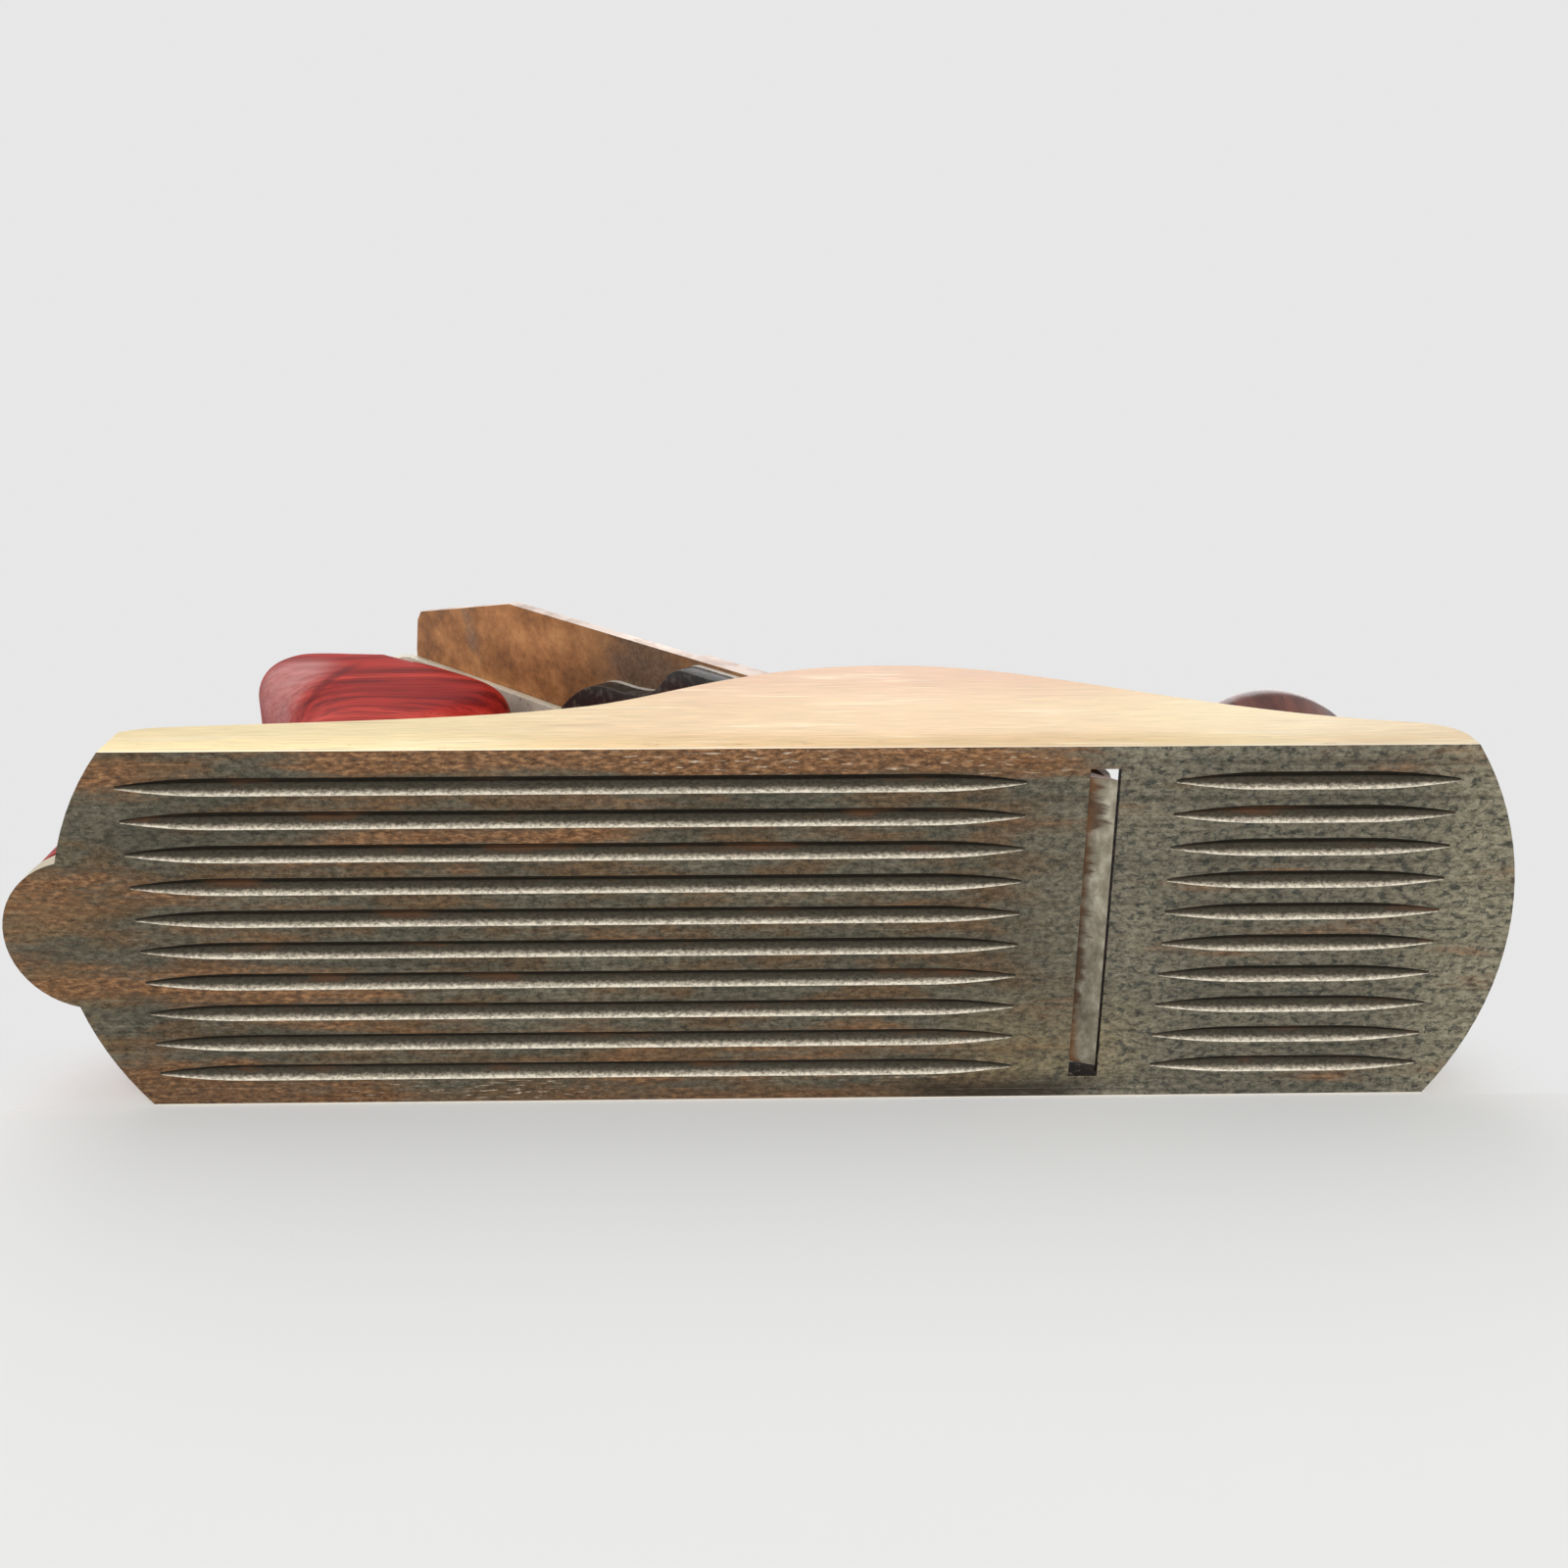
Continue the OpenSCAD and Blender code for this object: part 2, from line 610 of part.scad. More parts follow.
module depth_nut() {
    front = groove_x + fork_groove_w / 2;
    wheel = groove_x - fork_groove_w / 2;
    dish = 2.5;
    color([0.78, 0.6, 0.25]) translate([0, 0, stud_z]) difference() {
        union() {
            along_x(2 * core_r, wheel, front + flange_t);
            along_x(2 * flange_r, front, front + flange_t);
            along_x(nut_d, wheel - nut_w, wheel);
        }
        along_x(stud_d + 2 * fit, wheel - nut_w - cut, front + flange_t + cut);
        along_x(nut_d - 9, wheel - nut_w - cut, wheel - nut_w + dish);
        for (a = [0 : 10 : 350]) rotate([a, 0, 0])
            translate([wheel - nut_w + 1.5, nut_d / 2 - 0.5, -0.5])
                cube([nut_w - 3, 0.5 + cut, 1]);
    }
}

module y_lever() {
    reach = core_r + 0.4;
    half_bar = prong_t / 2 + 0.2;
    color([0.2, 0.2, 0.21]) difference() {
        union() {
            translate([pivot_x, 0, pivot_z]) across(2 * hub_r, ear_gap - 2 * free);
            bed_side([[pivot_s - 2.6, pivot_n], [pivot_s + 2.6, pivot_n],
                [finger_s + 2.1, -plate_t], [finger_s + 1.9, cap_iron_top_n - 0.2],
                [finger_s - 1.9, cap_iron_top_n - 0.2], [finger_s - 2.1, -plate_t]], 9);
            side_view([[pivot_x + 1.5, pivot_z - hub_r + 1], [pivot_x - 3.6, pivot_z - 1.4],
                [bar_x - half_bar, bar_z + bar_h], [bar_x - half_bar, bar_z],
                [bar_x + half_bar, bar_z]], ear_gap - 2 * free);
            translate([bar_x - half_bar, -reach - prong_w, bar_z])
                cube([2 * half_bar, 2 * (reach + prong_w), bar_h]);
            for (side = [-1, 1]) translate([0, side * (reach + prong_w / 2), 0]) {
                side_view([[groove_x - prong_t / 2, stud_z], [groove_x + prong_t / 2, stud_z],
                    [bar_x + half_bar, bar_z + cut], [bar_x - half_bar, bar_z + cut]], prong_w);
                translate([groove_x, 0, stud_z]) across(fork_groove_w - 0.3, prong_w);
            }
        }
        translate([pivot_x, 0, pivot_z]) across(y_pin_d + 2 * fit, ear_gap);
    }
}

module y_lever_pin() {
    color([0.6, 0.58, 0.54]) translate([pivot_x, 0, pivot_z])
        across(y_pin_d, ear_gap + 2 * ear_t);
}

// Lateral adjustment
module lateral_lever() {
    half = lateral_w / 2;
    tail_s = disc_s - 5.6;
    bend_s = lateral_end_s - 6;
    color([0.8, 0.78, 0.7]) difference() {
        union() {
            on_bed(0, lateral_n) linear_extrude(lateral_t) polygon(both_sides(concat(
                smooth([[tail_s, 0], [tail_s + 1.6, 4], [disc_s, 5.6], [disc_s + 6, 5.4],
                    [rivet_s, half], [rivet_s + 12, half]], 4),
                [[bend_s + 3, half]])));
            thumb_tab(bend_s);
        }
        on_bed(rivet_s, lateral_n - cut) cylinder(d = rivet_d + 2 * fit, h = lateral_t + 2 * cut);
        on_bed(disc_s, lateral_n - cut) cylinder(d = 3 + 2 * fit, h = lateral_t + 2 * cut);
    }
}

// The end of the lateral lever, turned down for the thumb
module thumb_tab(s) {
    turn_r = 3;
    top = lateral_n + lateral_t;
    arc = [for (a = [0 : 15 : 90]) [s + 3 + turn_r * sin(a), top - turn_r + turn_r * cos(a)]];
    inner = [for (a = [90 : -15 : 0]) let (r = turn_r - lateral_t)
        [s + 3 + r * sin(a), top - turn_r + r * cos(a)]];
    tip = [[s + 3 + turn_r, top - thumb_h], [s + 2.6 + turn_r - lateral_t, top - thumb_h]];
    bed_side(concat([[s + 2, top]], arc, tip, inner, [[s + 2, top - lateral_t]]), lateral_w);
}

module lateral_rivet() {
    color([0.6, 0.58, 0.54]) {
        on_bed(rivet_s, -plate_t - 1.4) cylinder(d = rivet_d, h = plate_t + 1.2);
        on_bed(rivet_s, -plate_t - 1.4) cylinder(d = rivet_d + 3, h = 1.4);
    }
}

module lateral_disc() {
    color([0.6, 0.58, 0.54]) on_bed(disc_s, lateral_n + lateral_t) difference() {
        cylinder(r = disc_r, h = iron_t - 0.2);
        translate([0, 0, -cut]) cylinder(d = 3 + 2 * fit, h = iron_t + 2 * cut);
    }
}

module disc_rivet() {
    color([0.55, 0.53, 0.5])
        on_bed(disc_s, lateral_n + 0.2) cylinder(d = 3, h = lateral_t + iron_t - 0.3);
}

// Plane iron and cap iron
function clipped_end(top, w, end_w, corner_l) = [[top - corner_l, w / 2],
    [top - 3, end_w / 2 + 2.2], [top - 1.4, end_w / 2], [top, end_w / 4]];

module plane_iron() {
    under_s = edge_s + bevel_l;
    color([0.45, 0.3, 0.2]) difference() {
        intersection() {
            on_bed() linear_extrude(iron_t) polygon(both_sides(concat(
                [[edge_s, iron_w / 2]],
                clipped_end(iron_top_s, iron_w, iron_top_w, iron_corner_l))));
            bed_side([[edge_s, iron_t], [under_s, 0], [iron_top_s + cut, 0],
                [iron_top_s + cut, iron_t]], iron_w + cut);
        }
        on_bed() translate([-140, -slot_w / 2, -cut]) cube([106, slot_w, iron_t + 2 * cut]);
        on_bed(34, -cut) cylinder(d = keyhole_d, h = iron_t + 2 * cut);
        on_bed(140, -cut) cylinder(d = slot_w, h = iron_t + 2 * cut);
    }
}

module cap_iron() {
    back = 19;
    e = cap_iron_edge_s;
    n = cap_iron_n;
    crest = n + hump_h;
    under_line = smooth([[e + 0.5, n], [e + 4, crest - 2.9], [e + 8.5, crest - cap_iron_t],
        [e + 14, n + 1.1], [e + back, n], [e + back + 6, n]], 5);
    under = [for (p = under_line) [p[0], max(n, p[1])]];
    over = smooth([[e + back + 6, n + cap_iron_t], [e + back, n + cap_iron_t],
        [e + 14.6, n + cap_iron_t + 1.2], [e + 8.5, crest], [e + 2.4, crest - 2.2], [e, n + 0.4]], 5);
    color([0.5, 0.4, 0.33]) difference() {
        union() {
            bed_side(concat([[e, n]], under, over), iron_w - 0.4);
            on_bed(0, n) linear_extrude(cap_iron_t) polygon(both_sides(concat(
                [[e + back + 5, iron_w / 2 - 0.2]],
                clipped_end(cap_iron_top_s, iron_w - 0.4, 26, 20))));
        }
        on_bed() translate([-52, -5.5, n - cut]) cube([16, 11, cap_iron_t + 2 * cut]);
        on_bed(36, n - cut) cylinder(d = 13.4, h = cap_iron_t + 2 * cut);
        on_bed(52, n - cut) cylinder(d = 11, h = cap_iron_t + 2 * cut);
        on_bed(joint_screw_s, n - cut) cylinder(d = 8 + 2 * fit, h = cap_iron_t + 2 * cut);
        on_bed() translate([-finger_s - 2.9, -6, n - cut]) cube([5.8, 12, cap_iron_t + 2 * cut]);
    }
}

module cap_iron_screw() {
    color([0.5, 0.48, 0.45]) difference() {
        union() {
            on_bed(joint_screw_s, -head_t) cylinder(d = head_d, h = head_t);
            on_bed(joint_screw_s, -cut) cylinder(d = 8, h = cap_iron_top_n + cut);
        }
        on_bed(joint_screw_s, -head_t) rotate([180, 0, 0]) driver_slot(head_d, 1.6, 1.2);
    }
}

// Lever cap and its cam
module lever_cap_outline() {
    lip = cap_w / 2;
    top = cap_top_w / 2;
    polygon(both_sides(concat([[cap_lip_s, lip], [cap_lip_s + 16, lip]],
        smooth([[cap_lip_s + 22, lip - 0.2], [52, lip - 2.2], [70, top + 0.8], [84, top],
            [cap_top_s - 7, top], [cap_top_s - 1.5, top - 3.5], [cap_top_s, top - 8]], 5))));
}

module lever_cap() {
    lip_n = iron_t + hump_h + 0.2;
    color([0.55, 0.54, 0.52]) difference() {
        intersection() {
            on_bed() linear_extrude(40) lever_cap_outline();
            bed_side([[cap_lip_s, lip_n + 1], [cap_lip_s + 2.5, lip_n], [cap_lip_s + 7, lip_n],
                [cap_lip_s + 10, cap_iron_top_n + 0.6], [cap_top_s + cut, cap_iron_top_n + 0.6],
                [cap_top_s + cut, cap_n + cap_t + 3], [cam_s - 9, cap_n + cap_t + 3],
                [cam_s - 14, cap_n + cap_t], [30, cap_n + cap_t], [cap_lip_s + 6, cap_n + cap_t - 0.4],
                [cap_lip_s, lip_n + 1.6]], cap_w + cut);
        }
        // Hollow underside, leaving a rim down both sides and a pad for the spring
        on_bed(0, 0) linear_extrude(cap_n) polygon(both_sides([[cap_lip_s + 12, cap_w / 2 - 4],
            [46, cap_w / 2 - 5], [74, cap_top_w / 2 - 3], [spring_s - 4, cap_top_w / 2 - 3]]));
        on_bed(0, 0) linear_extrude(cap_iron_top_n + 0.3 + spring_t + 0.3) polygon(both_sides(
            [[spring_s - 5, cap_top_w / 2 - 3], [cap_top_s + cut, cap_top_w / 2 - 3]]));
        // Place for the cam between its two ears
        on_bed() translate([-cap_top_s - cut, -cam_half, 0])
            cube([cap_top_s - cam_s + 7 + cut, 2 * cam_half, 40]);
        // Keyhole for the lever cap screw
        on_bed() translate([-cap_screw_s - 12, -cap_screw_d / 2 - free, 0])
            cube([12, cap_screw_d + 2 * free, 40]);
        on_bed(cap_screw_s) cylinder(d = cap_screw_d + 2 * free, h = 40);
        on_bed(cap_screw_s + 14) cylinder(d = 14.5, h = 40);
        on_bed(cam_s, cam_n) across(cam_pin_d + 2 * fit, cap_w);
        on_bed(spring_s) cylinder(d = 3 + 2 * fit, h = 40);
    }
}

module lever_cap_screw() {
    color([0.6, 0.58, 0.54]) difference() {
        union() {
            on_bed(cap_screw_s, -12.5) cylinder(d = cap_screw_d, h = cap_screw_top + 12.5 + cut);
            on_bed(cap_screw_s, cap_screw_top) cylinder(d = 12, h = 1.8);
            on_bed(cap_screw_s, cap_screw_top + 1.8) cylinder(d1 = 12, d2 = 8, h = 1.6);
        }
        on_bed(cap_screw_s, cap_screw_top + 3.4) driver_slot(12);
    }
}

module cam_lever() {
    r = cam_n - (cap_iron_top_n + 0.3 + spring_t) - 0.15;
    throw = 0.7;
    tip_s = cam_s + 27;
    face_n = cap_n + cap_t + 3;
    w = 2 * cam_half - 2 * free;
    color([0.55, 0.54, 0.52]) difference() {
        union() {
            on_bed(cam_s, cam_n - throw) across(2 * (r - throw), w);
            intersection() {
                bed_side([[cam_s - 2, cam_n - 1], [cam_s, cam_n - r + 0.6],
                    [cam_s + 5, cam_n - r + 1.4], [tip_s - 6, cap_n + 2.6], [tip_s, cap_n + 4.2],
                    [tip_s, cap_n + 6.2], [tip_s - 6, face_n - 1], [cam_s + 7, face_n],
                    [cam_s - 1, cam_n + r - 0.4]], cap_top_w);
                on_bed() linear_extrude(40) polygon(both_sides(concat([[cam_s - 3, w / 2],
                    [cap_top_s + 1.4, w / 2]],
                    smooth([[cap_top_s + 1.5, cap_top_w / 2 - 8], [cam_s + 14, cap_top_w / 2 - 6.6],
                        [tip_s - 6, 9.4], [tip_s - 1.4, 5], [tip_s, 0]], 5))));
            }
        }
        on_bed(cam_s, cam_n) across(cam_pin_d + 2 * fit, cap_w);
    }
}

module cam_pin() {
    color([0.6, 0.58, 0.54]) on_bed(cam_s, cam_n) across(cam_pin_d, cap_top_w - 4);
}

module cap_spring() {
    low = cap_iron_top_n + 0.3;
    pad_n = low + spring_t + 0.3;
    color([0.4, 0.4, 0.42]) difference() {
        bed_side([[spring_s - 5, pad_n - spring_t], [spring_s + 4, pad_n - spring_t], [spring_s + 8, low],
            [cam_s + 3, low], [cam_s + 5, low + 0.8], [cam_s + 4.2, low + spring_t + 0.6],
            [cam_s + 2.6, low + spring_t], [spring_s + 8.4, low + spring_t], [spring_s + 4.2, pad_n],
            [spring_s - 5, pad_n]], 16);
        on_bed(spring_s) cylinder(d = 3 + 2 * fit, h = 40);
    }
}

module cap_spring_rivet() {
    low = cap_iron_top_n + 0.2;
    color([0.5, 0.48, 0.45]) on_bed(spring_s, low) cylinder(d = 3, h = cap_n + cap_t - low);
}

// Knob, with the rod and nut that hold it
module knob() {
    r = knob_d / 2;
    side = smooth([[14.2, 0], [15.4, 1.6], [15, 3.6], [12.6, 6.4], [11.4, 12], [11.8, 20],
        [13.8, 30], [17, 40], [r - 0.3, knob_h - 17], [r, knob_h - 13], [r - 1.2, knob_h - 8],
        [r - 5.4, knob_h - 3], [r - 10.5, knob_h - 0.4], [r - 11.6, knob_h]], 4);
    color([0.25, 0.07, 0.05]) translate([knob_x, 0, knob_z]) difference() {
        rotate_extrude($fn = 96) polygon(concat([[0, 0]], side, [[0, knob_h]]));
        translate([0, 0, -cut]) cylinder(d = nut_shank_d + 0.4, h = knob_h + 2 * cut);
        translate([0, 0, knob_h - nut_head_h + 0.8])
            cylinder(d = top_nut_d + 0.4, h = nut_head_h + cut);
    }
}

module knob_rod() {
    color([0.6, 0.58, 0.54]) translate([knob_x, 0, sole_t - thread_l + 0.5])
        cylinder(d = rod_d, h = knob_z - sole_t + thread_l + knob_h - 10);
}

// Round nut with its head at the origin and its shank below
module top_nut() {
    difference() {
        union() {
            translate([0, 0, -nut_head_h + 1.2]) cylinder(d = top_nut_d, h = nut_head_h - 1.2);
            cylinder(d1 = top_nut_d, d2 = top_nut_d - 4, h = 1.2);
            translate([0, 0, -nut_shank_l]) cylinder(d = nut_shank_d, h = nut_shank_l);
        }
        translate([0, 0, -nut_shank_l - cut])
            cylinder(d = rod_d + 2 * fit, h = nut_shank_l - 3 + cut);
        translate([0, 0, 1.2]) driver_slot(top_nut_d, 1.6, 2);
    }
}

module knob_nut() {
    color([0.72, 0.56, 0.26])
        translate([knob_x, 0, knob_z + knob_h - nut_head_h + 0.8 + nut_head_h - 1.2]) top_nut();
}

// Tote, with the rod and nut that hold it
module tote_rod_line() {
    translate([tote_rod_x, 0, tote_z]) rotate([0, tote_lean, 0]) children();
}

// Side of the tote as knots: share of its length, share of its height, and rounding of the
// edge as a share of its width, all in hundredths
tote_side = [
    [0, 0, 38], [0, 8.1, 38], [1.4, 13.5, 38], [8.1, 22.1, 39], [17.1, 31.5, 40],
    [23.3, 41.4, 42.3], [27, 51.4, 43.1], [28.2, 60.4, 43.1], [26.1, 69.4, 41.5],
    [20.3, 76.9, 36.9], [13.4, 84.2, 31.5], [10.6, 91, 29.2], [13.6, 96.9, 26.9],
    [21.4, 100, 22.3], [35.8, 98.6, 18.5], [50.8, 93.9, 19.2], [64.7, 86.8, 24.6],
    [73.4, 80.5, 26.9], [76.7, 74.8, 26.9], [76.2, 68.5, 29.2], [71.1, 60.4, 36.9],
    [66.3, 50.5, 42.3], [64.4, 40.5, 42.3], [66.3, 30.6, 38.5], [72.3, 21.2, 30.8],
    [81.3, 13.5, 20.8], [91.7, 8.5, 13.1], [98.2, 5.8, 8.5], [100, 2.3, 5.4], [100, 0, 5.4]];
function tote_knots() = [for (k = tote_side)
    [k[0] * tote_l / 100, k[1] * tote_h / 100, k[2] * tote_w / 100]];

// Middle of a ring of outline points, paired from the back and the front, at y
function spine(ring, y) = let (m = len(ring)) [for (i = [0 : m / 2 - 1])
    [(ring[i][0] + ring[m - 1 - i][0]) / 2, y, (ring[i][2] + ring[m - 1 - i][2]) / 2]];
// Faces between a ring that starts at point k and its spine that starts at point s
function side_faces(k, s, m) = concat(
    [for (i = [0 : m / 2 - 2]) each [[k + i, k + i + 1, s + i + 1], [k + i, s + i + 1, s + i],
        [k + m - 2 - i, k + m - 1 - i, s + i], [k + m - 2 - i, s + i, s + i + 1]]],
    [[k + m - 1, k, s], [k + m / 2 - 1, k + m / 2, s + m / 2 - 1]]);

// The tote before it is bored: edges rounded to the knots' radii, and sides that stand out a
// little at the middle. A ring holds one line of both edges' curves, from one side to the other
module tote_solid() {
    side = smooth(tote_knots(), 3);
    m = len(side);
    steps = 4;
    sweep = 80;
    crown = 0.5;
    half = tote_w / 2 - crown;
    normal = [for (i = [0 : m - 1]) let (
        a = side[max(i - 1, 0)], b = side[min(i + 1, m - 1)],
        d = [b[0] - a[0], b[1] - a[1]]) [d[1], -d[0]] / norm(d)];
    turns = [for (k = [-steps : steps]) k / steps * sweep];
    rings = [for (hand = [-1, 1], a = turns) if (a * hand >= 0)
        [for (i = [0 : m - 1]) let (r = side[i][2], inset = r * (1 - cos(a)))
            [side[i][0] + normal[i][0] * inset, hand * (half - r) + r * sin(a),
                max(0, side[i][1] + normal[i][1] * inset)]]];
    last = len(rings) - 1;
    points = concat([for (ring = rings) each ring], spine(rings[0], -tote_w / 2),
        spine(rings[last], tote_w / 2));
    first_spine = (last + 1) * m;
    faces = concat(side_faces(0, first_spine, m),
        [for (f = side_faces(last * m, first_spine + m / 2, m)) [f[2], f[1], f[0]]],
        [for (k = [0 : last - 1], i = [0 : m - 1])
            let (j = (i + 1) % m, a = k * m + i, b = k * m + j)
            each [[a, b + m, b], [a, a + m, b + m]]]);
    polyhedron(points, faces);
}

module tote() {
    color([0.4, 0.05, 0.06]) difference() {
        translate([tote_x, 0, tote_z]) tote_solid();
        tote_rod_line() translate([0, 0, -tote_z])
            cylinder(d = nut_shank_d + 0.4, h = tote_rod_l + tote_z);
        tote_rod_line() translate([0, 0, tote_rod_l - nut_head_h + 1.2])
            cylinder(d = top_nut_d + 0.4, h = tote_h - tote_rod_l * cos(tote_lean));
    }
}

module tote_rod() {
    color([0.6, 0.58, 0.54]) tote_rod_line() translate([0, 0, 0.5 - thread_l])
        cylinder(d = rod_d, h = tote_rod_l + thread_l - 6);
}

module tote_nut() {
    color([0.72, 0.56, 0.26]) tote_rod_line() translate([0, 0, tote_rod_l]) top_nut();
}

plane_body();
frog();
frog_screws();
frog_washers();
frog_adjusting_screw();
frog_clip();
frog_clip_screw();
depth_stud();
depth_nut();
y_lever();
y_lever_pin();
lateral_lever();
lateral_rivet();
lateral_disc();
disc_rivet();
plane_iron();
cap_iron();
cap_iron_screw();
lever_cap();
lever_cap_screw();
cam_lever();
cam_pin();
cap_spring();
cap_spring_rivet();
knob();
knob_rod();
knob_nut();
tote();
tote_rod();
tote_nut();
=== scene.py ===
import json
import math

import bmesh
import bpy
from mathutils import Matrix, Vector

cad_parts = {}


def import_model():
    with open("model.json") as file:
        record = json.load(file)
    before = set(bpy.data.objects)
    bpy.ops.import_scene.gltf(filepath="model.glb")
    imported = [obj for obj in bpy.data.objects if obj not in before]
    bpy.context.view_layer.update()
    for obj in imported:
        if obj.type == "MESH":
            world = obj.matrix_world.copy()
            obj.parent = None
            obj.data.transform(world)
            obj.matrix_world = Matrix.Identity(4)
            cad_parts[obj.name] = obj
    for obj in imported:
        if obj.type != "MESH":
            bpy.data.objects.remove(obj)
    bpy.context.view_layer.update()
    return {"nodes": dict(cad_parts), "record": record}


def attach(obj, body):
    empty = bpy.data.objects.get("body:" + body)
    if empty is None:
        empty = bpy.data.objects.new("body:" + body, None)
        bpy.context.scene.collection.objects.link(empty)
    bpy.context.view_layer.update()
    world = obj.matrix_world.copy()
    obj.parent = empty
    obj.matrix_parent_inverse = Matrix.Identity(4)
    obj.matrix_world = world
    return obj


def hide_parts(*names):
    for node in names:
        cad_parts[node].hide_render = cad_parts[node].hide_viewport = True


# A corrugated smoothing plane, laid on its left cheek as in the photograph.
# Metres: the sole is z = 0, the toe is at +X, and the right cheek is at -Y.

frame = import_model()
MM = 0.001
NODES = frame["nodes"]
BODY_OF = {n: b for b, ns in frame["record"]["behaviour"]["bodies"].items() for n in ns}

# Places on the plane, in millimetres
HALF_W = 31.0                  # from the middle to a cheek's outside
SOLE_T = 4.6
SEAT_Z = 11.0                  # the frog's seat
BED_X = 51.75                  # where the bed's slope would meet the sole
MOUTH_X, MOUTH_HALF_X, MOUTH_HALF_Y = 52.9, 6.0, 27.6
GROOVE_PITCH = 5.6
GROOVE_HALF_W = 1.55
GROOVE_TIP = 15.0              # length of a groove's point
GROOVE_ENDS = ((-99.2, 41.1), (63.7, 108.4))
GROOVE_TOP_Z = 2.2
GROOVES_HALF_Y = 27.8
BEVEL_TOP_Z = 2.6
TOTE_X = -118.4
TOTE_Z = 6.0
TOTE_W = 26.0
TOTE_ROD_X = TOTE_X + 25.63
TOTE_LEAN = math.radians(13.57)
TOTE_ROD_L = 98.2
# Middle of the highlight painted on the tote's horn
HORN_HIGHLIGHT_X, HORN_HIGHLIGHT_Y, HORN_HIGHLIGHT_Z = -100.5, 10.0, 97.0

# What the plane is seen on
BOARD_HALF = 1.2
FLOOR_Z = -0.0003
CHEEK_Y = 0.0313
BOARD_TONE = (0.80, 0.80, 0.79)
BOARD_NEAR, BOARD_FAR = 180.0, 420.0
LAMP_AIM = (0.0, 0.0, 0.03)


# Shader maths

class Sock:
    """A socket that takes part in sums as a number does."""

    def __init__(self, finish, socket):
        self.finish, self.socket = finish, socket

    def _sum(self, operation, a, b=0.0):
        return self.finish.sum(operation, a, b)

    def __add__(self, other):
        return self._sum("ADD", self, other)

    def __radd__(self, other):
        return self._sum("ADD", other, self)

    def __sub__(self, other):
        return self._sum("SUBTRACT", self, other)

    def __rsub__(self, other):
        return self._sum("SUBTRACT", other, self)

    def __mul__(self, other):
        return self._sum("MULTIPLY", self, other)

    def __rmul__(self, other):
        return self._sum("MULTIPLY", other, self)

    def __truediv__(self, other):
        return self._sum("DIVIDE", self, other)

    def __abs__(self):
        return self._sum("ABSOLUTE", self)

    def __gt__(self, other):
        return self._sum("GREATER_THAN", self, other)

    def __lt__(self, other):
        return self._sum("LESS_THAN", self, other)


